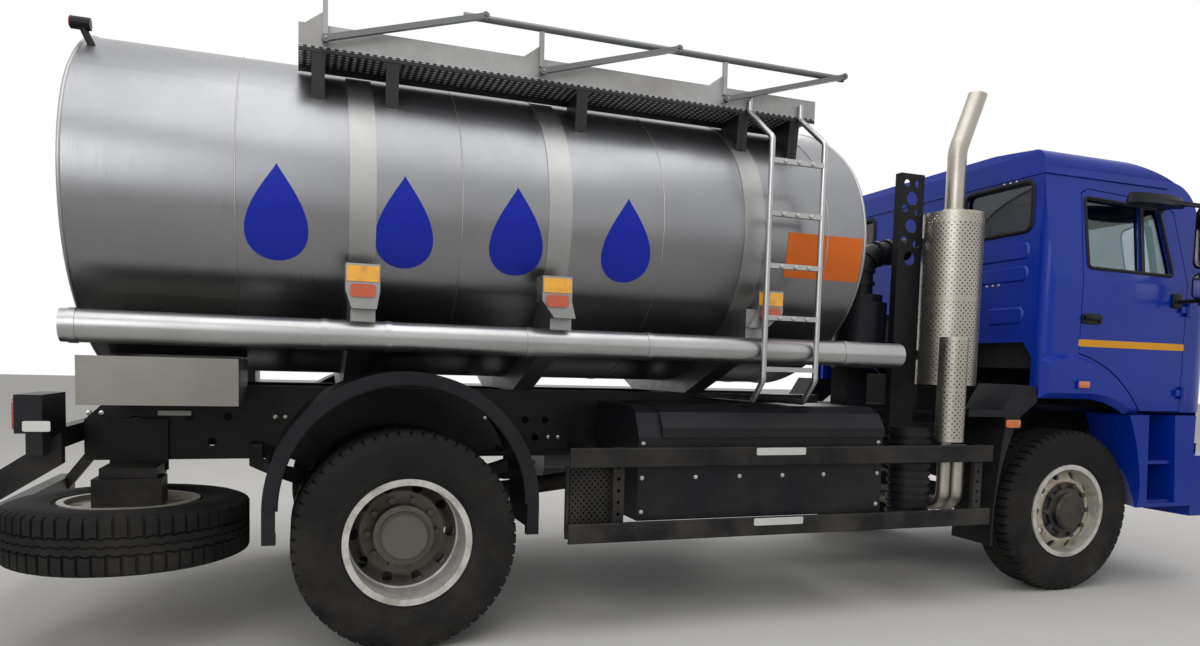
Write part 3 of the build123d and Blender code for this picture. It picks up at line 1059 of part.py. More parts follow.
REAR_WINDOW_Y, REAR_WINDOW_Z, REAR_WINDOW_WIDE, REAR_WINDOW_HIGH = 770, 2455, 570, 310
FRONT_WINDOW_Z, FRONT_WINDOW_WIDE, FRONT_WINDOW_HIGH = 2215, 2020, 620
outer_form = cab_solid(0)
inner_form = cab_solid(CAB_WALL)
with BuildPart() as cab_skin:
    add(outer_form)
    add(inner_form, mode=Mode.SUBTRACT)
    for side in (-1, 1):
        with BuildSketch(Plane.XZ.offset(-side * CAB_HALF)):
            door_outline(DOOR_GAP)
        extrude(amount=side * 200, mode=Mode.SUBTRACT)
    with BuildSketch(Plane.YZ.offset(CAB_FRONT - 300)):
        with Locations((0, FRONT_WINDOW_Z)):
            RectangleRounded(FRONT_WINDOW_WIDE, FRONT_WINDOW_HIGH, 80)
    extrude(amount=400, mode=Mode.SUBTRACT)
    with BuildSketch(Plane.YZ.offset(CAB_REAR - 10)):
        with Locations((-REAR_WINDOW_Y, REAR_WINDOW_Z), (REAR_WINDOW_Y, REAR_WINDOW_Z)):
            RectangleRounded(REAR_WINDOW_WIDE, REAR_WINDOW_HIGH, 45)
    extrude(amount=100, mode=Mode.SUBTRACT)
    with Locations((FA, 0, 900)):
        Box(1240, 2 * CAB_HALF + 20, 700, mode=Mode.SUBTRACT)
    with Locations((FA + 500, 0, 1000)):
        Box(1320, 2 * CAB_HALF + 20, 2 * 170, mode=Mode.SUBTRACT)
    with BuildSketch(Plane.YZ.offset(CAB_REAR - 50)):
        with BuildLine():
            Polyline((-CAB_HALF + 90, 900), (-CAB_HALF + 90, 1500), (-CAB_HALF + 160, FLOOR_REAR - 20),
                     (-TUNNEL_HALF - 60, FLOOR_REAR - 20), (-TUNNEL_HALF - 40, TUNNEL_TOP - 20),
                     (TUNNEL_HALF + 40, TUNNEL_TOP - 20), (TUNNEL_HALF + 60, FLOOR_REAR - 20),
                     (CAB_HALF - 160, FLOOR_REAR - 20), (CAB_HALF - 90, 1500), (CAB_HALF - 90, 900), close=True)
        make_face()
    extrude(amount=100, mode=Mode.SUBTRACT)

HINGE_X = DOOR_FRONT + 3
HINGE_Y = CAB_HALF + 18
HINGE_R = 14
HINGE_PIN_R = 7
HINGE_Z = [1300, 1850]
HINGE_LEN = 40
RIB_OUT = 9
REAR_RIBS = [(-800, 2178, 500, 110), (-800, 2035, 500, 100), (-880, 1770, 300, 110)]    # y, z, length, height
GUTTER_OUT = 12
PANELS = {"cab_roof": ((CAB_REAR - 50, ROOF_SEAM), (CAB_FRONT + 50, CAB_ROOF + 50)),
          "cab_rear_wall": ((CAB_REAR - 50, 900), (CAB_REAR + CAB_WALL, ROOF_SEAM)),
          "cab_sides": ((CAB_REAR + CAB_WALL, 900), (DOOR_FRONT + DOOR_GAP, ROOF_SEAM)),
          "cab_front": ((DOOR_FRONT + DOOR_GAP, 900), (CAB_FRONT + 50, ROOF_SEAM))}
for name, ((x0, z0), (x1, z1)) in PANELS.items():
    with BuildPart() as panel:
        add(cab_skin.part)
        with Locations(((x0 + x1) / 2, 0, (z0 + z1) / 2)):
            Box(x1 - x0, 2 * CAB_HALF + 100, z1 - z0, mode=Mode.INTERSECT)
        if name == "cab_roof":
            with BuildPart(mode=Mode.PRIVATE) as gutter:
                add(cab_solid(-GUTTER_OUT))
                add(inner_form, mode=Mode.SUBTRACT)
                with Locations(((CAB_REAR + FA + 700) / 2, 0, ROOF_SEAM + 12)):
                    Box(FA + 700 - CAB_REAR + 2 * GUTTER_OUT, 2 * CAB_HALF + 100, 24, mode=Mode.INTERSECT)
            add(gutter.part)
        if name == "cab_rear_wall":
            for way in (-1, 1):
                for y, z, length, height in REAR_RIBS:
                    with BuildSketch(Plane.YZ.offset(CAB_REAR - RIB_OUT)):
                        with Locations((way * y, z)):
                            RectangleRounded(length - 20, height - 20, 34)
                    with BuildSketch(Plane.YZ.offset(CAB_REAR + 1)):
                        with Locations((way * y, z)):
                            RectangleRounded(length, height, 40)
                    loft()
        if name == "cab_front":
            for side in (-1, 1):
                for z in HINGE_Z:
                    with Locations((HINGE_X, side * HINGE_Y, z)):
                        Cylinder(HINGE_PIN_R, HINGE_LEN + 44)
                    for lug_z in (z - HINGE_LEN / 2 - 12, z + HINGE_LEN / 2 + 12):
                        with Locations((HINGE_X, side * HINGE_Y, lug_z)):
                            Cylinder(HINGE_R, 20)
                        with Locations((HINGE_X + 30, side * (CAB_HALF + HINGE_Y) / 2, lug_z)):
                            Box(60, HINGE_Y - CAB_HALF, 20)
    save(panel, name)

# Cab floor: stepped up over the engine, low at the feet, with the tunnel on it and the tilt lugs under it
LUG_GAP = 6
with BuildPart() as cab_floor:
    with BuildSketch(Plane.XZ.offset(-CAB_HALF + CAB_WALL + SEAT_GAP)):
        with BuildLine():
            Polyline((CAB_REAR, FLOOR_REAR), (FA - 250, FLOOR_REAR), (FA - 200, FLOOR_HIGH), (FA + 500, FLOOR_HIGH),
                     (FA + 560, DOOR_LOW + 3), (FA + 1100, DOOR_LOW + 3), (FA + 1100, DOOR_LOW + FLOOR_THICK + 3),
                     (FA + 600, DOOR_LOW + FLOOR_THICK + 3), (FA + 540, FLOOR_HIGH + FLOOR_THICK),
                     (FA - 160, FLOOR_HIGH + FLOOR_THICK), (FA - 210, FLOOR_REAR + FLOOR_THICK),
                     (CAB_REAR, FLOOR_REAR + FLOOR_THICK), close=True)
        make_face()
    extrude(amount=2 * (CAB_HALF - CAB_WALL - SEAT_GAP))
    with Locations(((CAB_REAR + FA + 380) / 2, 0, (FLOOR_HIGH + TUNNEL_TOP) / 2)):
        Box(FA + 380 - CAB_REAR, 2 * TUNNEL_HALF, TUNNEL_TOP - FLOOR_HIGH)
    add(cab_solid(CAB_WALL + SEAT_GAP), mode=Mode.INTERSECT)
    for side in (-1, 1):
        with BuildSketch(Plane.XZ.offset(-side * (EAR_Y + LUG_GAP + 10) - 10)):
            with Locations((PIVOT_X, PIVOT_Z)):
                Circle(40)
            with Locations((PIVOT_X - 5, (PIVOT_Z + DOOR_LOW + 20) / 2)):
                Rectangle(70, DOOR_LOW + 20 - PIVOT_Z)
        extrude(amount=20)
        with BuildSketch(Plane.XZ.offset(-side * (EAR_Y - EAR_THICK))):
            with Locations((PIVOT_X, PIVOT_Z)):
                Circle(PIVOT_PIN)
        extrude(amount=-side * (EAR_THICK + LUG_GAP + 10))
save(cab_floor, "cab_floor")

# Fenders: crescents that bulge over the wheel arches
FENDER_OUT = 44
with BuildPart() as cab_fenders:
    for side in (-1, 1):
        with BuildSketch(Plane.XZ.offset(-side * CAB_HALF)):
            with BuildLine():
                ThreePointArc((FA - 372, 1490), (FA - 180, 1533), (FA + 3, 1505))
                ThreePointArc((FA + 3, 1505), (FA + 300, 1365), (FA + 492, STEP_TOP + 6))
                Line((FA + 492, STEP_TOP + 6), (FA + 358, STEP_TOP + 6))
                ThreePointArc((FA + 358, STEP_TOP + 6), (FA + 190, 1224), (FA + 12, 1250))
                Polyline((FA + 12, 1250), (FA - 372, 1250), (FA - 372, 1490))
            make_face()
        extrude(amount=-side * FENDER_OUT, taper=38)
    with Locations([(FA - 61, side * (CAB_HALF + FENDER_OUT), 1340) for side in (-1, 1)]):
        Box(104, 24, 52)
save(cab_fenders, "cab_fenders")


def glass_sheet(depth, thick):
    """A sheet that follows the cab's form, depth inside its outer face."""
    return cab_solid(depth) - cab_solid(depth + thick)


GLASS_DEPTH = 20
GLASS_THICK = 6
sheet = glass_sheet(GLASS_DEPTH, GLASS_THICK)
with BuildPart() as cab_glass:
    with BuildSketch(Plane.YZ.offset(CAB_FRONT - 300)):
        with Locations((0, FRONT_WINDOW_Z)):
            RectangleRounded(FRONT_WINDOW_WIDE - 2 * SEAT_GAP, FRONT_WINDOW_HIGH - 2 * SEAT_GAP, 80)
    extrude(amount=400)
    with BuildSketch(Plane.YZ.offset(CAB_REAR - 10)):
        with Locations((-REAR_WINDOW_Y, REAR_WINDOW_Z), (REAR_WINDOW_Y, REAR_WINDOW_Z)):
            RectangleRounded(REAR_WINDOW_WIDE - 2 * SEAT_GAP, REAR_WINDOW_HIGH - 2 * SEAT_GAP, 45)
    extrude(amount=100)
    add(sheet, mode=Mode.INTERSECT)
save(cab_glass, "cab_glass")

GRILLE_Z, GRILLE_WIDE, GRILLE_HIGH, SLATS = 1400, 1500, 420, 6
with BuildPart() as grille:
    with BuildSketch(Plane.YZ.offset(CAB_FRONT + SEAT_GAP)):
        with Locations((0, GRILLE_Z)):
            RectangleRounded(GRILLE_WIDE, GRILLE_HIGH, 40)
    extrude(amount=6)
    with BuildSketch(Plane.YZ.offset(CAB_FRONT + 6)):
        with Locations((0, GRILLE_Z)):
            RectangleRounded(GRILLE_WIDE, GRILLE_HIGH, 40)
            RectangleRounded(GRILLE_WIDE - 60, GRILLE_HIGH - 60, 24, mode=Mode.SUBTRACT)
    extrude(amount=22)
    for i in range(SLATS):
        z = GRILLE_Z + (i - (SLATS - 1) / 2) * (GRILLE_HIGH - 60) / SLATS
        with BuildSketch(Plane.XZ.offset(-GRILLE_WIDE / 2 + 20)):
            with BuildLine():
                Polyline((CAB_FRONT + 5, z + 18), (CAB_FRONT + 24, z - 6), (CAB_FRONT + 24, z - 16), (CAB_FRONT + 5, z + 8),
                         close=True)
            make_face()
        extrude(amount=GRILLE_WIDE - 40)
save(grille, "grille")

SEAT_Y, SEAT_HALF = 700, 235
SEAT_BASE = FLOOR_HIGH + FLOOR_THICK
with BuildPart() as cab_interior:
    for side in (-1, 1):
        with BuildSketch(Plane.XZ.offset(-side * SEAT_Y - SEAT_HALF)):
            with BuildLine():
                Polyline((FA + 20, SEAT_BASE), (FA + 20, SEAT_BASE + 240), (FA - 105, SEAT_BASE + 900),
                         (FA - 80, SEAT_BASE + 1060), (FA - 20, SEAT_BASE + 1060), (FA - 10, SEAT_BASE + 900),
                         (FA + 60, SEAT_BASE + 420), (FA + 420, SEAT_BASE + 450), (FA + 470, SEAT_BASE + 400),
                         (FA + 450, SEAT_BASE + 300), (FA + 330, SEAT_BASE + 260), (FA + 330, SEAT_BASE), close=True)
            make_face()
        extrude(amount=2 * SEAT_HALF)
    with Locations((FA + 1030, 0, 1650)):
        Box(340, 2100, 420)
    add(cab_solid(CAB_WALL + SEAT_GAP), mode=Mode.INTERSECT)
    with BuildSketch(Plane((FA + 700, SEAT_Y, 1950), x_dir=(0, 1, 0), z_dir=(-0.5, 0, 0.87))):
        Circle(220)
        Circle(195, mode=Mode.SUBTRACT)
        Rectangle(410, 30)
        Circle(60)
    extrude(amount=24)
    with BuildLine() as column:
        Line((FA + 700, SEAT_Y, 1955), (FA + 900, SEAT_Y, 1600))
    with BuildSketch(Plane(origin=column.line @ 0, z_dir=column.line % 0)):
        Circle(30)
    sweep(path=column.line)
save(cab_interior, "cab_interior")

# Doors, each with its window glass and its mirrors


MIRROR_ARM = 24
MIRROR_Y = CAB_HALF + 200
BAR_X = FA + 462         # the upright bar between the door's two panes


def window_outline(grow):
    """The door window's outline, larger by grow, in the current sketch."""
    with BuildLine() as outline:
        FilletPolyline((FA - 30 - grow, 2520 + grow), (FA - 12 - grow, 2075 - grow), (FA + 738 + grow, 2065 - grow),
                       (FA + 622 + grow, 2495 + grow), radius=30, close=True)
    make_face(outline.edges())


for label, side in (("right", -1), ("left", 1)):
    with BuildPart() as door:
        add(outer_form)
        add(inner_form, mode=Mode.SUBTRACT)
        with BuildSketch(Plane.XZ.offset(-side * (CAB_HALF + 10))):
            door_outline(0)
        extrude(amount=side * 260, mode=Mode.INTERSECT)
        with BuildSketch(Plane.XZ.offset(-side * (CAB_HALF + 10))):
            window_outline(0)
        extrude(amount=side * 260, mode=Mode.SUBTRACT)
        with BuildPart(mode=Mode.PRIVATE) as bar:
            add(outer_form)
            add(inner_form, mode=Mode.SUBTRACT)
            with Locations((BAR_X, side * (CAB_HALF - 60), 2290)):
                Box(26, 260, 480, mode=Mode.INTERSECT)
        add(bar.part)
        for z in HINGE_Z:
            with Locations((HINGE_X, side * HINGE_Y, z)):
                Cylinder(HINGE_R, HINGE_LEN)
            with Locations((HINGE_X - 30, side * (CAB_HALF + HINGE_Y - 1) / 2, z)):
                Box(60, HINGE_Y - CAB_HALF + 1, HINGE_LEN)
            with Locations((HINGE_X, side * HINGE_Y, z)):
                Cylinder(HINGE_PIN_R + PIN_CLEARANCE, HINGE_LEN, mode=Mode.SUBTRACT)
    save(door, f"door_{label}")
    with BuildPart() as door_glass:
        with BuildSketch(Plane.XZ.offset(-side * (CAB_HALF + 10))):
            window_outline(-SEAT_GAP)
        extrude(amount=side * 260)
        add(sheet, mode=Mode.INTERSECT)
        with Locations((BAR_X, side * (CAB_HALF - 60), 2290)):
            Box(26 + 2 * SEAT_GAP, 260, 500, mode=Mode.SUBTRACT)
    save(door_glass, f"door_glass_{label}")
    with BuildPart() as door_mirrors:
        with BuildSketch(Plane.XY.offset(2482)):
            with Locations((FA + 410, side * (CAB_HALF + 85))):
                Ellipse(245, 62)
        extrude(amount=62, taper=12)
        for x, y, z, wide, high in ((FA + 780, MIRROR_Y, 2300, 200, 400), (FA + 780, MIRROR_Y, 1990, 190, 170)):
            with BuildSketch(Plane.YZ.offset(x - 20)):
                with Locations((side * y, z)):
                    RectangleRounded(wide, high, 45)
            extrude(amount=64, taper=10)
        with Locations((FA + 800, side * (MIRROR_Y - 60), 2190)):
            Cylinder(12, 640)
        for x, z in ((FA + 800, 1900), (FA + 630, 2500)):
            reach = CAB_HALF - max(0, z - MIRROR_ARM / 2 - BELT_Z) * TUMBLE / (SHOULDER_Z - BELT_Z) + SEAT_GAP
            with Locations((x, side * (MIRROR_Y - 60 + reach) / 2, z)):
                Box(MIRROR_ARM, MIRROR_Y - 60 - reach, MIRROR_ARM)
        with Locations((FA + 600, side * (CAB_HALF + 130), 2502)):
            Box(420, MIRROR_ARM, MIRROR_ARM)
    save(door_mirrors, f"door_mirrors_{label}")
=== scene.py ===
import math

import bmesh
import bpy
import numpy as np
from mathutils import Matrix, Vector


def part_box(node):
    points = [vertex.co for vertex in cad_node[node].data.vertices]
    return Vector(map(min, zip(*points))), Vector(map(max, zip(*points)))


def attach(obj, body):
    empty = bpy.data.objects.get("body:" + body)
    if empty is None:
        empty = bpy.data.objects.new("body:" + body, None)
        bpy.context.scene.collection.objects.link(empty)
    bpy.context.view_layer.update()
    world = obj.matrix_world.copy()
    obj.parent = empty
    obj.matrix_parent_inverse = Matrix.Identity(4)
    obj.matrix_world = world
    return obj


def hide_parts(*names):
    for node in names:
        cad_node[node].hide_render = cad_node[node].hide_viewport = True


# %% [markdown]
# A two-axle water tanker, dressed over its CAD model.
# The CAD nodes already have the right size and place, so this lesson adds what CAD leaves out:
# surfaces with wear, tyres with tread, perforated sheet, bolts, seams and small trim.

# %% Load the frame
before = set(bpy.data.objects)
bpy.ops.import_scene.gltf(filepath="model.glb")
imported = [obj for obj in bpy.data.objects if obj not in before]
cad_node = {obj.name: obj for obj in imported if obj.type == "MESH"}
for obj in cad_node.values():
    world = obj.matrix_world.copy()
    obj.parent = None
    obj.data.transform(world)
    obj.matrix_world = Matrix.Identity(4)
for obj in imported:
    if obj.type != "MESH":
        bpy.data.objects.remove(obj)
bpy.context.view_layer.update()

# %% [markdown]
# Most new pieces are grids of points. A grid needs only its points and the quads between them,
# so one helper makes the quads and another puts points and quads into a mesh.
# A ready mesh is parented to an empty named after the body it rides on.


# %% Grid helpers
def grid_quads(rows, columns, close_rows=False, close_columns=False):
    """Quads of a rows-by-columns grid; a closed direction joins its last line to its first."""
    r, c = np.meshgrid(np.arange(rows if close_rows else rows - 1),
                       np.arange(columns if close_columns else columns - 1), indexing="ij")
    r_next, c_next = (r + 1) % rows, (c + 1) % columns
    return np.stack([r * columns + c, r_next * columns + c,
                     r_next * columns + c_next, r * columns + c_next], -1).reshape(-1, 4)


def together(parts):
    """Joins (points, quads) pairs into one pair, by moving each one's point numbers past the last."""
    flats = [np.asarray(points, float).reshape(-1, 3) for points, quads in parts]
    starts = np.cumsum([0] + [len(flat) for flat in flats[:-1]])
    moved = [quads + start for (points, quads), start in zip(parts, starts)]
    return np.concatenate(flats), np.concatenate(moved)


def make_piece(name, parts, material, body, crease=35, solid=True, replaces=()):
    """Makes one smooth mesh of (points, quads) pairs, with its faces outward, and lets it ride on a body."""
    points, quads = together(parts if isinstance(parts, list) else [parts])
    mesh = bpy.data.meshes.new(name)
    mesh.from_pydata(points.tolist(), [], quads.tolist())
    work = bmesh.new()
    work.from_mesh(mesh)
    bmesh.ops.remove_doubles(work, verts=work.verts, dist=1e-5)
    if solid:
        bmesh.ops.recalc_face_normals(work, faces=work.faces)
    work.to_mesh(mesh)
    work.free()
    mesh.materials.append(material)
    mesh.shade_smooth()
    mesh.set_sharp_from_angle(angle=math.radians(crease))
    piece = bpy.data.objects.new(name, mesh)
    bpy.context.scene.collection.objects.link(piece)
    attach(piece, body)
    if replaces:
        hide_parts(*replaces)
    return piece


# %% [markdown]
# Colours are easier to read as the 0 to 255 values of a painter's chart.
# Blender's shader wants linear light, so a short formula turns one into the other.


# %% Colour helper
def chart(red, green, blue):
    """Linear colour of a chart value: divide by 255, then the screen curve taken off."""
    share = np.array([red, green, blue]) / 255
    linear = np.where(share < 0.04045, share / 12.92, ((share + 0.055) / 1.055) ** 2.4)
    return (*linear.tolist(), 1.0)


# %% [markdown]
# A material is a small graph of nodes. These helpers keep each material to a few lines:
# one adds a node and fills its inputs, one gives coordinates that stay on the object,
# and one turns a grey pattern into two tones.


# %% Shader helpers
def shader_node(tree, kind, inputs=None, **settings):
    """Adds a node; each input is a value or another node's output."""
    made = tree.nodes.new(kind)
    for key, value in settings.items():
        setattr(made, key, value)
    for key, value in (inputs or {}).items():
        if isinstance(value, bpy.types.NodeSocket):
            tree.links.new(value, made.inputs[key])
        else:
            made.inputs[key].default_value = value
    return made


def object_place(tree, scale=(1, 1, 1), move=(0, 0, 0)):
    """Object coordinates, stretched and moved by a Mapping node."""
    place = shader_node(tree, "ShaderNodeTexCoord").outputs["Object"]
    inputs = {"Vector": place, "Scale": scale, "Location": move}
    return shader_node(tree, "ShaderNodeMapping", inputs).outputs[0]


def noise(tree, place, scale, detail=4.0, rough=0.55):
    """Cloudy patches; a larger scale makes them smaller."""
    return shader_node(tree, "ShaderNodeTexNoise", {"Vector": place, "Scale": scale, "Detail": detail,
                                                    "Roughness": rough}).outputs["Fac"]


def between(tree, value, low, high, low_to=0.0, high_to=1.0):
    """The value's stretch from low to high, spread over low_to to high_to and clamped."""
    return shader_node(tree, "ShaderNodeMapRange", {"Value": value, "From Min": low, "From Max": high,
                                                    "To Min": low_to, "To Max": high_to}).outputs[0]


def height_above_road(tree, place):
    """The z of a place, which is metres above the road for a piece that isn't turned."""
    return shader_node(tree, "ShaderNodeSeparateXYZ", {0: place}).outputs["Z"]


def waves(tree, place, scale, way):
    """Smooth ridges across one axis, for moulded ribs and rows of holes."""
    inputs = {"Vector": place, "Scale": scale}
    return shader_node(tree, "ShaderNodeTexWave", inputs, bands_direction=way).outputs[1]


def darker(colour, share):
    """The colour at a share of its own brightness."""
    return tuple(share * c for c in colour[:3]) + (1.0,)


def mixed(tree, share, first, second):
    """The first colour where share is 0, the second where it is 1."""
    made = shader_node(tree, "ShaderNodeMix", data_type="RGBA")
    for key, value in ((0, share), (6, first), (7, second)):
        if isinstance(value, bpy.types.NodeSocket):
            tree.links.new(value, made.inputs[key])
        else:
            made.inputs[key].default_value = value
    return made.outputs[2]


def times(tree, a, b):
    """Two patterns or numbers multiplied, so that both have to be present."""
    return shader_node(tree, "ShaderNodeMath", {0: a, 1: b}, operation="MULTIPLY").outputs[0]


def new_material(name, metallic, coat=0.0, **sockets):
    """A Principled material; numbers that are the same all over are set on its own sockets."""
    material = bpy.data.materials.new(name)
    material.use_nodes = True
    shader = material.node_tree.nodes["Principled BSDF"]
    shader.inputs["Metallic"].default_value = metallic
    shader.inputs["Coat Weight"].default_value = coat
    shader.inputs["Coat Roughness"].default_value = 0.06
    for key, value in sockets.items():
        shader.inputs[key.replace("_", " ")].default_value = value
    return material, material.node_tree, shader


def wire(tree, shader, colour=None, rough=None, height=None, depth=0.001, strength=1.0):
    """Joins colour, roughness and a height pattern to the shader."""
    if colour is not None:
        tree.links.new(colour, shader.inputs["Base Color"])
    if rough is not None:
        tree.links.new(rough, shader.inputs["Roughness"])
    if height is not None:
        inputs = {"Height": height, "Distance": depth, "Strength": strength}
        bump = shader_node(tree, "ShaderNodeBump", inputs)
        tree.links.new(bump.outputs[0], shader.inputs["Normal"])


# %% [markdown]
# Paint on a working truck is never one colour. Road dust lies thickest near the ground,
# in soft patches, and dulls the gloss where it lies. The height above the road and a noise
# pattern together make that mask, and it drives both the colour and the roughness.


# %% Painted and moulded surfaces
def dusty(name, clean, dust, gloss, dull, dust_top, amount, metallic=0.0, coat=0.0, grain=60,
          depth=0.0004, sheen=0.2):
    """Clean colour under dust that thins out upwards to dust_top metres."""
    material, tree, shader = new_material(name, metallic, coat, Specular_IOR_Level=sheen)
    place = object_place(tree)
    low = between(tree, height_above_road(tree, place), dust_top, 0.2)
    patches = between(tree, noise(tree, place, 3.1, 6.0, 0.62), 0.38, 0.68)
    mask = times(tree, times(tree, low, patches), amount)
    tint = mixed(tree, between(tree, noise(tree, place, 1.3, 3.0), 0.3, 0.7), clean, darker(clean, 0.82))
    wire(tree, shader, mixed(tree, mask, tint, dust), between(tree, mask, 0.0, 0.7, gloss, dull),
         noise(tree, place, grain, 5.0), depth, 0.5)
    return material


road_dust = chart(128, 120, 108)
cab_paint = dusty("cab paint", chart(0, 46, 160), chart(70, 78, 104), 0.30, 0.50, 1.2, 0.22,
                  coat=0.15, grain=240, depth=0.0002)
chassis_paint = dusty("chassis paint", chart(20, 21, 24), road_dust, 0.42, 0.75, 1.5, 0.30, grain=130)
guard_plastic = dusty("guard plastic", chart(20, 22, 27), chart(90, 88, 86), 0.42, 0.70, 1.5, 0.25, grain=300)
cast_parts = dusty("cast parts", chart(28, 27, 27), road_dust, 0.6, 0.85, 1.2, 0.4, grain=90, depth=0.001)
wheel_paint = dusty("wheel paint", chart(196, 190, 178), chart(120, 108, 92), 0.35, 0.6, 1.3, 0.6,
                    metallic=0.35, grain=180)
seat_trim = dusty("seat trim", chart(52, 53, 58), chart(70, 68, 66), 0.7, 0.8, 3.0, 0.4, grain=420)
grey_steel = dusty("grey steel", chart(118, 120, 122), chart(90, 88, 84), 0.38, 0.6, 3.4, 0.35,
                   metallic=0.75, grain=160)
print("painted finishes:", len(bpy.data.materials))

# %% [markdown]
# The tank is brushed stainless sheet. The brush leaves fine lines round the tank, so the noise
# is squeezed along X and drawn out along Y and Z. The lines are in the bump and the roughness,
# broad cloudy patches are in the colour, and the metal itself stays plain. The tank and its bands
# also carry painted shade: their colour darkens towards the bottom of the flank.


# %% Brushed stainless steel
def brushed(name, colour, rough_low, rough_high, across=(140, 3, 3), cloud=1.1, depth=0.0003, painted_shade=None):
    """Steel with fine brush lines and cloudy patches; the last argument, (low z, high z, share left at the
    low one), is painted shade that darkens the steel towards the bottom.
    """
    material, tree, shader = new_material(name, 1.0)
    place = object_place(tree)
    lines = noise(tree, object_place(tree, across), 2.2, 3.0, 0.7)
    clouds = between(tree, noise(tree, place, cloud, 5.0, 0.6), 0.32, 0.7)
    tone = mixed(tree, clouds, colour, darker(colour, 0.80))
    rough = shader_node(tree, "ShaderNodeMath", {0: between(tree, lines, 0.3, 0.7, rough_low, rough_high),
                                                 1: times(tree, clouds, 0.08)}, operation="ADD").outputs[0]
    # painted shade: below the high z the colour is mixed towards a dark brown-grey, most at the low z
    if painted_shade:
        left = between(tree, height_above_road(tree, place), *painted_shade, 1.0)
        tone = mixed(tree, left, (0.10, 0.095, 0.09, 1.0), tone)
    wire(tree, shader, tone, rough, lines, depth, 0.35)
    return material


# the tank and its bands get painted shade on the lower flank, from 1.25 m upwards
tank_steel = brushed("tank steel", chart(148, 149, 152), 0.25, 0.37, painted_shade=(1.25, 2.3, 0.56))
band_steel = brushed("band steel", chart(168, 168, 167), 0.34, 0.46, across=(60, 6, 6),
                     painted_shade=(1.25, 2.2, 0.6))
box_steel = brushed("box steel", chart(134, 132, 126), 0.38, 0.5, across=(3, 3, 60), cloud=2.4)
tube_steel = brushed("tube steel", chart(178, 178, 178), 0.22, 0.36, across=(4, 90, 90), cloud=2.0)
guard_steel = brushed("guard steel", chart(176, 170, 160), 0.30, 0.44, across=(8, 8, 120), cloud=3.0)

# %% [markdown]
# Tyre rubber is dark, matt and grey with dust on its walls. Glass lets light through and keeps
# a clean reflection. Lamp lenses are coloured plastic with small ribs moulded on the inside.


# %% Rubber, glass and lenses
tyre_rubber = dusty("tyre rubber", chart(20, 20, 21), chart(82, 78, 72), 0.75, 0.9, 1.1, 0.42,
                    grain=260, depth=0.0008)


def clear_glass(name, tint, rough):
    """Glass that lets the light through, with a tint."""
    material, tree, shader = new_material(name, 0.0, Transmission_Weight=1.0, IOR=1.45)
    place = object_place(tree)
    film = between(tree, noise(tree, place, 2.5, 5.0), 0.35, 0.75, 0.0, 1.0)
    wire(tree, shader, mixed(tree, times(tree, film, 0.25), tint, chart(205, 208, 206)),
         between(tree, film, 0.0, 1.0, rough, rough + 0.01))
    return material


def lens(name, colour, rib_scale):
    """Ribbed plastic lens, glossier in the valleys of its ribs."""
    material, tree, shader = new_material(name, 0.0, coat=1.0)
    place = object_place(tree)
    ribs = waves(tree, place, rib_scale, "Z")
    wire(tree, shader, mixed(tree, noise(tree, place, 30, 3.0), colour, darker(colour, 0.6)),
         between(tree, ribs, 0.0, 1.0, 0.18, 0.3), ribs, 0.001, 0.6)
    return material


def banded(name, edge, upper, lower):
    """Upper colour above the height edge, lower colour under it, for a reflector over a lamp."""
    material, tree, shader = new_material(name, 0.0, coat=0.8)
    place = object_place(tree)
    height = height_above_road(tree, place)
    ribs = waves(tree, place, 50.0, "X")
    plain = mixed(tree, between(tree, height, edge - 0.001, edge + 0.001), lower, upper)
    stain = times(tree, between(tree, noise(tree, place, 20, 4.0), 0.45, 0.7), 0.35)
    tone = mixed(tree, stain, plain, chart(120, 84, 40))
    wire(tree, shader, tone, between(tree, ribs, 0.0, 1.0, 0.2, 0.32), ribs, 0.0008, 0.4)
    return material


# %% [markdown]
# A wheel is painted in rings: dark hub, pale disc or dark well, bright rim. Distance from the
# wheel's axis picks the ring, and brake dust lies over all of them in patches.


# %% Wheel paint
def wheel_finish(name, axle_x, axle_z, bands):
    """Paint in rings round the wheel's axis: bands lists (radius, colour), each from that radius outwards."""
    material, tree, shader = new_material(name, 0.25)
    place = object_place(tree, move=(-axle_x, 0, -axle_z))
    flat = shader_node(tree, "ShaderNodeMapping", {"Vector": place, "Scale": (1, 0, 1)}).outputs[0]
    radius = shader_node(tree, "ShaderNodeVectorMath", {0: flat}, operation="LENGTH").outputs["Value"]
    tone = bands[0][1]
    for start, colour in bands[1:]:
        tone = mixed(tree, between(tree, radius, start - 0.002, start + 0.002), tone, colour)
    dust = times(tree, between(tree, noise(tree, place, 9.0, 6.0, 0.65), 0.42, 0.66), 0.5)
    wire(tree, shader, mixed(tree, dust, tone, chart(98, 86, 70)), between(tree, dust, 0.0, 0.5, 0.36, 0.7),
         noise(tree, place, 160, 4.0), 0.0004, 0.5)
    return material


# %% [markdown]
# Now the finishes themselves. Where a finish depends on a place, such as a wheel's axis or the
# line between a reflector and its lamp, the place is read from the frame.

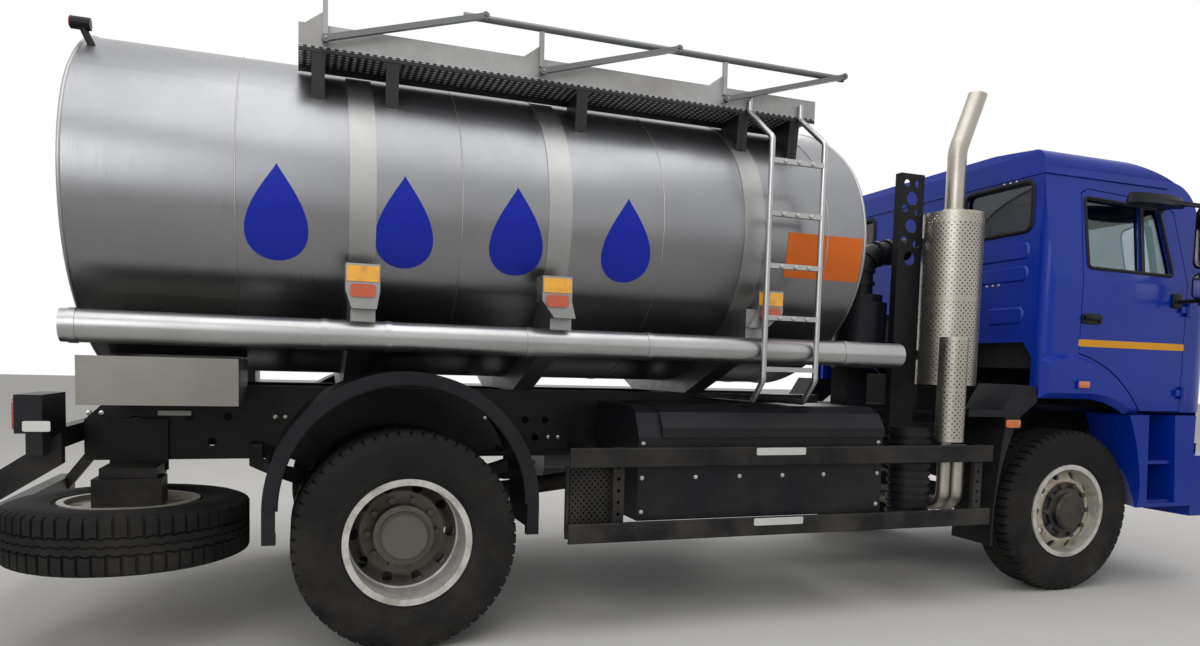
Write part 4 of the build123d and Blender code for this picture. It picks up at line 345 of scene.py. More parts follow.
# %% Lenses, wheels and glass by name
window_glass = clear_glass("window glass", chart(150, 168, 172), 0.0)
amber_lens = lens("amber lens", chart(238, 120, 24), 60)
red_lens = lens("red lens", chart(178, 20, 18), 60)
clear_lens = lens("clear lens", chart(206, 210, 214), 40)
holder_low, holder_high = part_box("side_lamps")
marker_lamps = banded("marker lamps", (holder_low[2] + holder_high[2]) / 2, chart(250, 178, 30),
                      chart(196, 72, 16))
front_x, rear_x, axle_z = (float(sum(corner[i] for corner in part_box(node))) / 2 for node, i in
                           (("tyre_front_right", 0), ("tyres_rear_right", 0), ("tyre_front_right", 2)))
FRONT_BANDS = [(0, chart(34, 34, 36)), (0.150, chart(50, 50, 52)), (0.185, chart(190, 180, 160)),
               (0.262, chart(205, 203, 198))]
REAR_BANDS = [(0, chart(98, 95, 88)), (0.146, chart(92, 88, 80)), (0.215, chart(56, 54, 52)),
              (0.262, chart(206, 204, 199))]
front_rim = wheel_finish("front rim", front_x, axle_z, FRONT_BANDS)
rear_rim = wheel_finish("rear rim", rear_x, axle_z, REAR_BANDS)
print("wheel axes at x", round(rear_x, 3), "and", round(front_x, 3), "m, height", round(axle_z, 3), "m")

# %% [markdown]
# The catwalk is three things by height: pale kick boards above the deck, brackets below it,
# and a punched deck sheet between. Below the deck top the steel is dark grey, which is painted
# shade on the down-facing brackets and on the sheet. Two sets of waves multiplied give the rows
# of holes, painted bright as light showing through them, and they show only where the height is
# that of the sheet's upper or lower face.

# %% Catwalk steel
walk_steel, tree, shader = new_material("walk steel", 0.45)
place = object_place(tree)
height = height_above_road(tree, place)
holes = between(tree, times(tree, waves(tree, place, 9.0, "X"), waves(tree, place, 9.0, "Y")), 0.34, 0.46)
deck_low, deck_top = 2.804, 2.810     # the punched sheet's faces, metres above the road
in_deck = between(tree, height, deck_top + 0.0015, deck_top + 0.0005)
on_sheet = mixed(tree, between(tree, height, deck_low + 0.001, deck_low + 0.0005),
                 between(tree, height, deck_top - 0.0015, deck_top - 0.0005),
                 between(tree, height, deck_low - 0.0015, deck_low - 0.0005))
worn = mixed(tree, between(tree, noise(tree, place, 2.4, 6.0, 0.6), 0.35, 0.7), chart(170, 170, 170),
             chart(140, 138, 134))
# painted shade: dark grey on the sheet and the brackets; painted light: bright dots where the holes let light
# through
sheet = mixed(tree, times(tree, holes, on_sheet), chart(44, 43, 42), chart(225, 228, 232))
wire(tree, shader, mixed(tree, in_deck, worn, sheet),
     between(tree, noise(tree, place, 30, 4.0), 0.3, 0.7, 0.38, 0.55),
     noise(tree, place, 200, 4.0), 0.0003, 0.4)
print("deck sheet from", deck_low, "to", deck_top, "m")

# %% [markdown]
# Films, rubber and bolts are small, so each is the dusty surface again with its own colour.

# %% Small finishes
plate_blue = dusty("plain blue", chart(22, 40, 168), chart(30, 48, 160), 0.35, 0.5, 3.0, 0.3, grain=300)
plate_orange = dusty("plain orange", chart(226, 112, 38), chart(190, 110, 60), 0.4, 0.55, 3.0, 0.4,
                     grain=300)
stripe_yellow = dusty("stripe yellow", chart(240, 168, 30), chart(214, 160, 70), 0.35, 0.5, 3.0, 0.4,
                      grain=300)
plain_white = dusty("plain white", chart(222, 222, 218), chart(150, 146, 140), 0.35, 0.6, 1.6, 0.6, grain=300)
black_rubber = dusty("black rubber", chart(20, 20, 22), chart(60, 58, 56), 0.5, 0.7, 2.4, 0.4, grain=300)
bright_bolts = dusty("bright bolts", chart(196, 196, 194), chart(120, 112, 100), 0.25, 0.5, 2.5, 0.5,
                     metallic=0.9)
mirror_face = brushed("mirror face", chart(226, 228, 230), 0.03, 0.06, across=(2, 2, 2), depth=0.00005)

# %% [markdown]
# Every CAD node gets the finish that its part has on the real truck.
# The table goes from finish to nodes, which is shorter than one line a node.

# %% Dress the CAD nodes
DRESS = (
    (tank_steel, ("tank_shell", "manhole_neck", "manhole_lid")),
    (band_steel, ("tank_bands", "tank_supports")),
    (box_steel, ("storage_boxes",)),
    (tube_steel, ("hose_tubes", "ladder")),
    (guard_steel, ("exhaust", "exhaust_guards")),
    (walk_steel, ("catwalk",)),
    (grey_steel, ("rail_arm_rear", "rail_arm_mid", "rail_arm_front", "hand_rail", "fuel_tank")),
    (cab_paint, ("cab_roof", "cab_rear_wall", "cab_sides", "cab_front", "cab_fenders", "door_right",
                 "door_left", "front_bumper", "step_units")),
    (chassis_paint, ("frame_rails", "subframe", "side_guards", "stack_frame", "spare_carrier", "underrun")),
    (guard_plastic, ("mudguards", "battery_box", "tail_lamps", "air_cleaner", "grille",
                     "door_mirrors_right", "door_mirrors_left")),
    (cast_parts, ("front_axle", "rear_axle", "driveline", "knuckle_right", "knuckle_left")),
    (wheel_paint, ("spare_wheel",)),
    (front_rim, ("wheel_front_right", "wheel_front_left")),
    (rear_rim, ("wheels_rear_right", "wheels_rear_left")),
    (tyre_rubber, ("tyre_front_right", "tyre_front_left", "tyres_rear_right", "tyres_rear_left",
                   "spare_tyre")),
    (seat_trim, ("cab_interior", "cab_floor")),
    (window_glass, ("cab_glass", "door_glass_right", "door_glass_left")),
    (clear_lens, ("headlamps",)),
    (marker_lamps, ("side_lamps",)),
)
for finish, names in DRESS:
    for name in names:
        cad_node[name].data.materials.clear()
        cad_node[name].data.materials.append(finish)
undressed = sorted(set(cad_node) - {name for finish, names in DRESS for name in names})
print("nodes without a finish:", undressed)

# %% [markdown]
# Long thin things, such as rubber seals, rails and wires, are all one idea: a small section
# carried along a path. At each point of the path the section stands square to the way ahead.
# A swell of zero at an end draws the section together there and closes it.


# %% Sweep helpers
def sweep(path, normal, section, closed=False):
    """The path's points, plus across * side and up * normal for each corner of the section."""
    path = np.asarray(path, float)
    swell = np.ones(len(path))
    if not closed:
        path = np.concatenate([path[:1], path, path[-1:]])
        swell = np.concatenate([[0], swell, [0]])
    ahead = np.roll(path, -1, 0) - np.roll(path, 1, 0)
    if not closed:
        ahead[:2], ahead[-2:] = path[2] - path[1], path[-2] - path[-3]
    side = np.cross(ahead, np.broadcast_to(np.asarray(normal, float), path.shape))
    side /= np.linalg.norm(side, axis=1, keepdims=True)
    above = np.cross(side, ahead)
    above /= np.linalg.norm(above, axis=1, keepdims=True)
    across, up = (np.asarray(section, float).T[i][None, :, None] * swell[:, None, None] for i in (0, 1))
    points = path[:, None] + across * side[:, None] + up * above[:, None]
    return points, grid_quads(len(path), len(section), closed, True)


def round_section(radius, sides=10):
    """A circle as a polygon, for wires, seals and beads."""
    turn = np.linspace(0, 2 * np.pi, sides, endpoint=False)
    return np.stack([radius * np.cos(turn), radius * np.sin(turn)], 1)


def flat_section(width, height, lift=0.0):
    """A rectangle's corners, centred across, from lift up to lift + height."""
    half = width / 2
    return np.array([(-half, lift), (half, lift), (half, lift + height), (-half, lift + height)])


def rounded_loop(corners, radius, steps=6):
    """A closed 2-D outline whose corners are rounded by quadratic curves, radius metres along each side."""
    corners = np.asarray(corners, float)
    before, after = np.roll(corners, 1, 0) - corners, np.roll(corners, -1, 0) - corners
    start = corners + radius * before / np.linalg.norm(before, axis=1, keepdims=True)
    end = corners + radius * after / np.linalg.norm(after, axis=1, keepdims=True)
    t = np.linspace(0, 1, steps)[None, :, None]
    curve = (1 - t) ** 2 * start[:, None] + 2 * t * (1 - t) * corners[:, None] + t ** 2 * end[:, None]
    return curve.reshape(-1, 2)


def signed_power(value, power):
    """The size of a value raised to a power, with its sign kept."""
    return np.sign(value) * np.abs(value) ** power


def pillow(centre, half, power=0.35, rows=13, columns=28):
    """A rounded block: the sines and cosines of two angles, each raised to a power below one."""
    v, u = np.meshgrid(np.linspace(-np.pi / 2, np.pi / 2, rows),
                       np.linspace(0, 2 * np.pi, columns, endpoint=False), indexing="ij")
    flat = signed_power(np.cos(v), power)
    points = np.stack([flat * signed_power(np.cos(u), power), flat * signed_power(np.sin(u), power),
                       signed_power(np.sin(v), power)], -1) * np.asarray(half) + np.asarray(centre)
    return points, grid_quads(rows, columns, False, True)


def bolt_heads(places, out, radius, height, sides=8):
    """Low domes at the places, standing along out; the dome's profile is four rings and a tip."""
    out = np.asarray(out, float)
    first = np.cross(out, (0, 0, 1) if abs(out[2]) < 0.9 else (1, 0, 0))
    first /= np.linalg.norm(first)
    second = np.cross(out, first)
    turn = np.linspace(0, 2 * np.pi, sides, endpoint=False)
    reach = np.array([1.0, 1.0, 0.82, 0.45, 0.0])[:, None, None] * radius
    rise = np.array([-0.1, 0.45, 0.85, 1.0, 1.0])[:, None, None] * height
    ring = reach * (np.cos(turn)[None, :, None] * first + np.sin(turn)[None, :, None] * second) + rise * out
    points = np.asarray(places, float)[:, None, None] + ring[None]
    quads = grid_quads(5, sides, False, True)
    starts = np.arange(len(places))[:, None, None] * 5 * sides
    return points, (quads[None] + starts).reshape(-1, 4)


# %% [markdown]
# Road tyres have blocks at the shoulders and wavy grooves round the middle. The section is a row
# of columns from bead to bead. Going round, the tread columns sway to and fro to make the wavy
# grooves, and the shoulder columns drop at each cross groove. Both are functions of the angle.


# %% Tyres with tread
WALL = np.array([(117.5, 286), (117.5, 303), (124, 317), (126, 321), (128, 323), (131, 340), (135.5, 365),
                 (136.5, 368), (138.5, 395), (139.8, 425), (138, 455), (134.5, 476), (132, 480),
                 (129, 490), (126, 500)])     # half width and radius, mm
SHOULDER = np.array([(122, 508), (116, 517), (106, 521.5)])
TREAD = np.array([(74, 522), (43, 522), (41, 509), (34, 509), (32, 522), (5, 522), (3.5, 514)])
SWAY = np.array([0.0, 0.6, 1, 1, 1, 0.8, 0.8])
PERIODS = 58           # tread blocks round the tyre
GROOVE_DEPTH = 0.012
SWAY_REACH = 0.0055


def tyre(lying=False):
    """One tyre about its own centre, standing or lying; the two halves of the section mirror each other."""
    half = np.concatenate([WALL, SHOULDER, TREAD]) / 1000
    sway = np.concatenate([np.zeros(len(WALL) + len(SHOULDER)), SWAY])
    across = np.concatenate([-half[:, 0], half[::-1, 0]])
    radius = np.concatenate([half[:, 1], half[::-1, 1]])
    sway = np.concatenate([sway, sway[::-1]])
    cut = np.concatenate([np.zeros(len(WALL) - 1), [0.3], np.ones(len(SHOULDER)), [1, 1, 0, 0], np.zeros(3)])
    share = np.array([0, 0.03, 0.22, 0.25, 0.5, 0.53, 0.72, 0.75])
    turn = ((np.arange(PERIODS)[:, None] + share) / PERIODS * 2 * np.pi).ravel()
    share = np.tile(share, PERIODS)
    left_cut, right_cut = ((share > low) & (share < low + 0.24) for low in (0.01, 0.51))
    zigzag = SWAY_REACH * (np.abs(share * 2 - 1) * 2 - 1)
    depth = GROOVE_DEPTH * np.concatenate([left_cut[:, None] * cut, right_cut[:, None] * cut[::-1]], 1)
    r = radius[None] - depth
    y = across[None] + zigzag[:, None] * sway[None]
    x, z = r * np.sin(turn)[:, None], r * np.cos(turn)[:, None]
    points = np.stack([x, z, y] if lying else [x, y, z], -1)
    return points, grid_quads(len(turn), len(across), True, True)


TYRE_HALF = 0.1403
tyre_points, tyre_quads = tyre()
for side_name in ("right", "left"):
    for wheel, x, body in ((f"tyre_front_{side_name}", front_x, f"front_wheel_{side_name}"),
                           (f"tyres_rear_{side_name}", rear_x, f"rear_wheels_{side_name}")):
        low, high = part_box(wheel)
        ends = [low[1] + TYRE_HALF, high[1] - TYRE_HALF]
        places = ends[:1] if high[1] - low[1] < 0.4 else ends
        parts = [(tyre_points + np.array([x, y, axle_z]), tyre_quads) for y in places]
        make_piece(wheel.replace("tyre", "treaded_tyre"), parts, tyre_rubber, body, 28,
                   replaces=(wheel,))
low, high = (np.array(corner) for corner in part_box("spare_tyre"))
spare_points, spare_quads = tyre(lying=True)
make_piece("treaded_spare_tyre", (spare_points + (low + high) / 2, spare_quads), tyre_rubber, "chassis",
           28, replaces=("spare_tyre",))
print("faces of one tyre:", len(spare_quads))

# %% [markdown]
# The exhaust guards are sheet steel punched with staggered holes and rolled into a tube.
# Each hole sits in its own tile of eight corners; every other row of tiles is moved half a tile,
# and the corners of one row then meet the edge middles of the next. Rolling is the last step.


# %% Perforated sheets
def punched(width, height, pitch_x, pitch_z, hole, wall):
    """Staggered tiles with an eight-sided hole and its wall; columns of (across, up, depth)."""
    columns, rows = max(1, round(width / pitch_x)), max(1, round(height / pitch_z))
    wide, tall = width / columns, height / rows
    row, column = np.meshgrid(np.arange(rows), np.arange(columns), indexing="ij")
    centre = np.stack([(column + 0.5 * (row % 2) + 0.5) * wide, (row + 0.5) * tall], -1).reshape(-1, 1, 2)
    rim = np.array([(-1, -1), (0, -1), (1, -1), (1, 0), (1, 1), (0, 1), (-1, 1), (-1, 0)]) / 2.0
    turn = np.arctan2(rim[:, 1], rim[:, 0])
    outer = centre + rim * (wide, tall)
    inner = centre + hole * np.stack([np.cos(turn), np.sin(turn)], -1)
    depth = np.zeros(outer.shape[:2] + (1,))
    points = np.concatenate([np.concatenate([outer, depth], -1), np.concatenate([inner, depth], -1),
                             np.concatenate([inner, depth + wall], -1)], 1)
    i = np.arange(8)
    j = (i + 1) % 8
    tile = np.concatenate([np.stack([i, j, j + 8, i + 8], -1), np.stack([i + 8, j + 8, j + 16, i + 16], -1)])
    return points.reshape(-1, 3), (tile[None] + 24 * np.arange(len(centre))[:, None, None]).reshape(-1, 4)


HOLE_ROW = 0.0166      # height of one row of holes


def punched_tube(x, y, radius, low, high, holes_round):
    """A punched sheet rolled about an upright axis: across becomes the angle, depth goes inward."""
    girth = 2 * np.pi * radius
    flat, quads = punched(girth, high - low, girth / holes_round, HOLE_ROW, 0.0052, 0.003)
    angle, reach = flat[:, 0] / radius, radius - flat[:, 2]
    return np.stack([x + reach * np.cos(angle), y + reach * np.sin(angle), low + flat[:, 1]], -1), quads


def hoop(x, y, z, radius, section):
    """A ring about an upright axis."""
    turn = np.linspace(0, 2 * np.pi, 48, endpoint=False)
    path = np.stack([x + radius * np.cos(turn), y + radius * np.sin(turn), np.full(48, z)], -1)
    return sweep(path, (0, 0, 1), section, closed=True)


GUARDS = [(rear_x + 3.370, -0.905, 0.180, 1.315, 2.377, 36),     # x, y, radius, low, high, holes round
          (rear_x + 3.190, -1.160, 0.082, 0.980, 1.600, 16)]
sleeves = [punched_tube(*guard) for guard in GUARDS]
rims, caps = [], []
for x, y, radius, low, high, holes_round in GUARDS:
    rims += [hoop(x, y, z, radius - 0.001, flat_section(0.003, 0.022, -0.011))
             for z in (low + 0.011, (low + high) / 2, high - 0.011)]
    caps.append(hoop(x, y, high - 0.067, radius - 0.0075, flat_section(0.011, 0.006)))
make_piece("punched_guards", sleeves, guard_steel, "chassis", 50, solid=False,
           replaces=("exhaust_guards",))
make_piece("guard_hoops", rims + caps, guard_steel, "chassis")

PANEL_X, PANEL_Y, PANEL_Z = rear_x + 0.79, -1.17, 0.50
PANEL_WIDE, PANEL_TALL = 0.27, 0.36
panel, panel_quads = punched(PANEL_WIDE, PANEL_TALL, 0.030, HOLE_ROW, 0.006, 0.002)
panel = np.stack([PANEL_X + panel[:, 0], PANEL_Y + panel[:, 2], PANEL_Z + panel[:, 1]], -1)
frame_path = np.array([(PANEL_X + x, PANEL_Y, PANEL_Z + z) for x, z in
                       ((0, 0), (PANEL_WIDE, 0), (PANEL_WIDE, PANEL_TALL), (0, PANEL_TALL))])
make_piece("punched_panel", (panel, panel_quads), chassis_paint, "chassis", 50, solid=False)
make_piece("punched_panel_frame", sweep(frame_path, (0, 1, 0), flat_section(0.018, 0.02, -0.01), closed=True),
           chassis_paint, "chassis")
print("holes in the guards:", sum(len(quads) for points, quads in sleeves) // 16)

# %% [markdown]
# Marks on the tank are thin film that follows the steel. A flat shape is drawn in two numbers,
# along the tank and up it, and the third is worked out from the tank's section, whose flank is
# an arc. The real lettering and the maker's board are left blank: plain drops and a plain board.

# %% Films on the tank's flank
FLANK_R, FLANK_Y, FLANK_Z = 0.650, 0.475, 2.125
TANK_HALF_HEIGHT = 0.830


def on_flank(x, z, side, lift=0.0012):
    """The flank's point at height z, lift metres off the steel; the arc's centre is at FLANK_Y, FLANK_Z."""
    reach = np.sqrt((FLANK_R + lift) ** 2 - (z - FLANK_Z) ** 2)
    return np.stack([x, side * (FLANK_Y + reach), z], -1)


def drop(x, z, side, width=0.30, height=0.42):
    """A water drop: circles drawn out to a tip; the share s goes from its middle to its edge."""
    share, turn = np.meshgrid(np.linspace(0.0, 1, 8), np.linspace(0, 2 * np.pi, 40, endpoint=False),
                              indexing="ij")
    across = share * width * 0.62 * np.sin(turn) * np.sin(turn / 2) ** 1.3
    up = share * height / 2 * np.cos(turn)
    return on_flank(x + across, z + up, side), grid_quads(8, 40, False, True)[:, ::-side]


def board(x0, x1, z0, z1, side, lift=0.0015):
    """A rectangle of film on the flank: even steps along the tank and up it."""
    z, x = np.meshgrid(np.linspace(z0, z1, 12), np.linspace(x0, x1, 6), indexing="ij")
    return on_flank(x, z, side, lift), grid_quads(12, 6)[:, ::side]


DROP_X = [rear_x + x for x in (-0.58, -0.02, 0.52, 1.10)]
SIDES = (("right", -1), ("left", 1))     # the truck's right is on the negative y side
BOTH = (-1, 1)
for side_name, side in SIDES:
    make_piece(f"blue_drops_{side_name}", [drop(x, 2.02, side) for x in DROP_X], plate_blue, "chassis",
               60, solid=False)
    make_piece(f"orange_board_{side_name}", board(rear_x + 2.045, rear_x + 2.535, 1.893, 2.135, side),
               plate_orange, "chassis", 60, solid=False)

# %% [markdown]
# The shell of the tank ends in a rolled edge where the dished end is welded in, and the cross
# seams show as low weld beads. Both follow the tank's oval section, which is four arcs that
# touch each other, so the same outline is walked once and used for each.


# %% Tank edges and seams
def tank_loop(grow, steps=40):
    """The oval's outline in y and z, grown outwards: a top arc, a flank, a bottom arc and a flank."""
    rise, half = TANK_HALF_HEIGHT - FLANK_R, FLANK_Y
    drop_z = (half ** 2 - rise ** 2) / (2 * rise)
    big = TANK_HALF_HEIGHT + drop_z
    turn = math.atan2(half, drop_z)
    top = np.linspace(-turn, turn, steps)
    y_top, z_top = (big + grow) * np.sin(top), (big + grow) * np.cos(top) - drop_z
    flank = np.linspace(math.pi / 2 - turn, turn - math.pi / 2, steps // 2)[1:-1]
    y_flank, z_flank = half + (FLANK_R + grow) * np.cos(flank), (FLANK_R + grow) * np.sin(flank)
    y = np.concatenate([y_top, y_flank, y_top[::-1], -y_flank[::-1]])
    z = np.concatenate([z_top, z_flank, -z_top[::-1], z_flank[::-1]])
    return y, z + FLANK_Z


def tank_ring(x, radius, grow):
    """A round bead along the oval outline at x."""
    y, z = tank_loop(grow)
    return sweep(np.stack([np.full(len(y), x), y, z], -1), (1, 0, 0), round_section(radius, 8), closed=True)


tank_low, tank_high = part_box("tank_shell")
shell_rear, shell_front = tank_low[0] + 0.110, tank_high[0] - 0.110
edges = [tank_ring(x, 0.009, -0.003) for x in (shell_rear, shell_front)]
beads = [tank_ring(rear_x + x, 0.0035, 0.0) for x in (-0.75, 0.25, 1.30, 2.30)]
make_piece("tank_rolled_edges", edges, band_steel, "chassis", 60)
make_piece("tank_weld_beads", beads, band_steel, "chassis", 60)

# %% [markdown]
# Windows of a cab sit in black rubber seals. A seal is swept round the window's outline, and the
# outline is laid on the cab's skin: the side leans in above the belt line, and the windscreen
# leans back, so height alone gives the third coordinate on each of them.

# %% Window seals and the door's trim
BELT_Z, SHOULDER_Z, CAB_HALF, LEAN = 2.000, 2.690, 1.200, 0.072
CAB_REAR = front_x - 0.350
SEAL = round_section(0.011, 8) * (1.0, 0.7)


def side_y(z):
    """Half width of the cab at height z: upright to the belt, then leaning in."""
    return CAB_HALF - LEAN * np.clip((z - BELT_Z) / (SHOULDER_Z - BELT_Z), 0, None)


def screen_x(z):
    """How far forward the cab's front stands at height z."""
    return front_x + np.interp(z, [1.1, 1.5, 1.95, 2.47, 2.61], [1.210, 1.210, 1.150, 0.985, 0.925])


DOOR_CORNERS = [(-0.030, 2.520), (-0.012, 2.075), (0.738, 2.065), (0.622, 2.495)]
DOOR_WINDOW = rounded_loop(DOOR_CORNERS, 0.035) + (front_x, 0)
REAR_WINDOW = rounded_loop([(-0.285, 2.300), (0.285, 2.300), (0.285, 2.610), (-0.285, 2.610)], 0.06)
SCREEN = rounded_loop([(-1.010, 1.905), (1.010, 1.905), (1.010, 2.525), (-1.010, 2.525)], 0.09)
screen_path = np.stack([screen_x(SCREEN[:, 1]) + 0.002, SCREEN[:, 0], SCREEN[:, 1]], -1)
cab_seals = [sweep(screen_path, (1, 0, 0.25), SEAL * 1.5, closed=True)]
for side in BOTH:
    path = np.stack([np.full(len(REAR_WINDOW), CAB_REAR - 0.002), side * 0.770 + REAR_WINDOW[:, 0],
                     REAR_WINDOW[:, 1]], -1)
    cab_seals.append(sweep(path, (1, 0, 0), SEAL * 1.4, closed=True))
make_piece("cab_window_seals", cab_seals, black_rubber, "cab", 60)
for side_name, side in SIDES:
    body = f"cab_door_{side_name}"
    path = np.stack([DOOR_WINDOW[:, 0], side * (side_y(DOOR_WINDOW[:, 1]) + 0.002), DOOR_WINDOW[:, 1]], -1)
    bar_z = np.array([2.070, 2.3, 2.508])
    bar = np.stack([np.full(3, front_x + 0.462), side * (side_y(bar_z) + 0.001), bar_z], -1)
    make_piece(f"door_seal_{side_name}", [sweep(path, (0, 1, 0), SEAL, closed=True),
                                          sweep(bar, (0, 1, 0), flat_section(0.030, 0.008, -0.004))],
               black_rubber, body, 60)
    stripe = pillow((front_x + 0.404, side * (CAB_HALF + 0.0005), 1.602), (0.470, 0.002, 0.0225), 0.1)
    make_piece(f"door_stripe_{side_name}", stripe, stripe_yellow, body)
    handle = [pillow((front_x + 0.030, side * (CAB_HALF + 0.002), 1.755), (0.085, 0.006, 0.034)),
              pillow((front_x + 0.036, side * (CAB_HALF + 0.022), 1.762), (0.062, 0.010, 0.014)),
              pillow((front_x - 0.030, side * (CAB_HALF + 0.012), 1.760), (0.010, 0.016, 0.012)),
              pillow((front_x + 0.096, side * (CAB_HALF + 0.008), 1.742), (0.013, 0.008, 0.013), 0.8)]
    make_piece(f"door_handle_{side_name}", handle, guard_plastic, body)
    mirror_x, mirror_y = front_x + 0.7585, side * 1.400
    mirrors = [pillow((mirror_x, mirror_y, 2.300), (0.0025, 0.088, 0.186), 0.3),
               pillow((mirror_x, mirror_y, 1.990), (0.0025, 0.084, 0.072), 0.3)]
    make_piece(f"mirror_glass_{side_name}", mirrors, mirror_face, body)
    feet = [pillow((front_x + 0.770, side * (CAB_HALF + 0.008), 1.905), (0.045, 0.010, 0.048)),
            pillow((front_x + 0.630, side * (side_y(2.500) + 0.006), 2.500), (0.030, 0.008, 0.024))]
    make_piece(f"mirror_foot_{side_name}", feet, guard_plastic, body)
print("seals on the cab:", len(cab_seals), "and one on each door")

# %% [markdown]
# The cab's front carries the wipers, a blank number plate and the lamps' inner bowls.
# A wiper is an arm and a blade, each a swept bar that leans on the glass.


# %% Cab front and small cab parts
def on_screen(y, z, lift):
    """The windscreen's point at y and z, lift metres in front of the glass."""
    return np.stack([screen_x(z) + lift, y, z], -1)


wipers = []
for pivot_y, tip_y in ((-0.62, -0.10), (0.30, 0.82)):
    arm_y, arm_z = np.linspace(pivot_y, tip_y, 8), np.linspace(1.865, 2.06, 8)
    blade_y, blade_z = np.linspace(tip_y - 0.36, tip_y + 0.22, 10), np.linspace(1.985, 2.09, 10)
    wipers.append(sweep(on_screen(arm_y, arm_z, 0.026), (1, 0, 0.3), round_section(0.006, 8)))
    wipers.append(sweep(on_screen(blade_y, blade_z, 0.014), (1, 0, 0.3), flat_section(0.010, 0.014, -0.007)))
    wipers.append(pillow(on_screen(pivot_y, 1.865, 0.012), (0.016, 0.022, 0.022), 0.8))
make_piece("wipers", wipers, guard_plastic, "cab")
marker_boxes = [pillow((front_x - 0.061, side * (CAB_HALF + 0.0555), 1.340), (0.046, 0.006, 0.021))
                for side in BOTH]
make_piece("fender_lamps", marker_boxes, amber_lens, "cab")
wall_bolts = [(CAB_REAR - 0.001, side * y, z) for side in BOTH for y, z in
              ((0.82, 2.625), (0.87, 2.625), (0.92, 2.625), (0.72, 1.975), (0.77, 1.975), (0.82, 1.975))]
make_piece("rear_wall_bolts", bolt_heads(wall_bolts, (-1, 0, 0), 0.010, 0.007), bright_bolts, "cab")
bumper_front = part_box("front_bumper")[1][0]
lamp_bowls = [pillow((bumper_front - 0.038, side * y, 0.690), (0.004, radius, radius), 0.9)
              for side in BOTH for y, radius in ((0.715, 0.062), (0.880, 0.058))]
make_piece("headlamp_bowls", lamp_bowls, mirror_face, "chassis")
make_piece("front_plate", pillow((bumper_front - 0.006, 0, 0.690), (0.003, 0.26, 0.056), 0.15), plain_white,
           "chassis")

# %% [markdown]
# Bolts and plates are what makes a frame look built. They are listed by place, and one dome
# function draws a whole list at once. Both sides of the truck use the same list, mirrored.

# %% Bolts, plates and lenses on the chassis
FRAME_BOLTS = ((-1.458, 1.076), (-1.402, 1.076), (-1.319, 1.002), (-1.255, 1.002), (-1.188, 1.002),
               (-0.60, 1.06), (-0.55, 1.06), (0.52, 1.06), (0.58, 1.06), (0.90, 0.95), (0.96, 0.95),
               (2.62, 1.08), (2.95, 0.90), (3.30, 1.06), (3.36, 1.06))     # x from the rear axle, z
frame_bolts = [bolt_heads([(rear_x + x, side * 0.432, z) for x, z in FRAME_BOLTS], (0, side, 0), 0.014, 0.012)
               for side in BOTH]
make_piece("frame_bolts", frame_bolts, bright_bolts, "chassis")
frame_plates = [pillow((rear_x - 1.078, side * 0.434, 1.076), (0.077, 0.003, 0.012), 0.15) for side in BOTH]
make_piece("frame_plates", frame_plates, plain_white, "chassis")
BOX_BOLTS = ((1.187, 0.800), (1.495, 0.800), (1.758, 0.800), (2.025, 0.800), (2.292, 0.800), (2.655, 0.800),
             (1.187, 0.622), (2.655, 0.622), (1.190, 0.978), (2.655, 0.978))     # x from the rear axle, z
box_bolts = [(rear_x + x, -1.188, z) for x, z in BOX_BOLTS]
make_piece("box_bolts", bolt_heads(box_bolts, (0, -1, 0), 0.014, 0.009), bright_bolts, "chassis")
strips = [pillow((rear_x + 1.980, side * 1.2485, z), (0.154, 0.002, 0.020), 0.12)
          for side in BOTH for z in (0.938, 0.556)]
make_piece("guard_reflectors", strips, plain_white, "chassis")
clip_lamps = [pillow((front_x - 0.570, side * 1.2125, 1.090), (0.057, 0.004, 0.024)) for side in BOTH]
make_piece("side_clip_lamps", clip_lamps, amber_lens, "chassis")
print("bolts on the frame and the box:", len(BOTH) * len(FRAME_BOLTS) + len(BOX_BOLTS))

# %% [markdown]
# The tail carries a red, an amber and a clear lens on each side, and a bare plate. The mast lamp
# at the top of the tank and the back of the punched panel are made here too.

# %% Tail lenses, mast lamp and panel back
tail_x = rear_x - 1.580
TAIL_LENSES = (("red", red_lens, "lamp_red", 1.085), ("amber", amber_lens, "lamp_amber", 0.960),
               ("clear", clear_lens, "lamp_clear", 0.835))     # colour, finish, slot, y
for name, finish, slot_name, place_y in TAIL_LENSES:
    lenses = [pillow((tail_x - 0.004, side * place_y, 1.110), (0.008, 0.056, 0.066), 0.3) for side in BOTH]
    make_piece(f"tail_{name}_lenses", lenses, finish, "chassis")
mast_lens = pillow((rear_x - 1.455, -0.700, 2.850), (0.006, 0.024, 0.024), 0.8)
make_piece("mast_lens", mast_lens, red_lens, "chassis")
side_reflectors = [pillow((rear_x - 1.500, side * 1.152, 1.060), (0.050, 0.003, 0.022), 0.2) for side in BOTH]
make_piece("tail_side_reflectors", side_reflectors, plain_white, "chassis")
rear_plate = pillow((rear_x - 1.5425, 0.56, 0.985), (0.002, 0.16, 0.044), 0.15)
make_piece("rear_plate", rear_plate, plain_white, "chassis")
panel_back = pillow((rear_x + 0.925, -1.135, 0.68), (0.134, 0.012, 0.178), 0.1)
make_piece("punched_panel_back", panel_back, guard_plastic, "chassis")

# %% [markdown]
# The rungs of the ladder have three pressed studs each for grip, the fuel tank hangs in two
# straps, and the manhole lid is held by swing bolts round its edge and lifted by a handle.

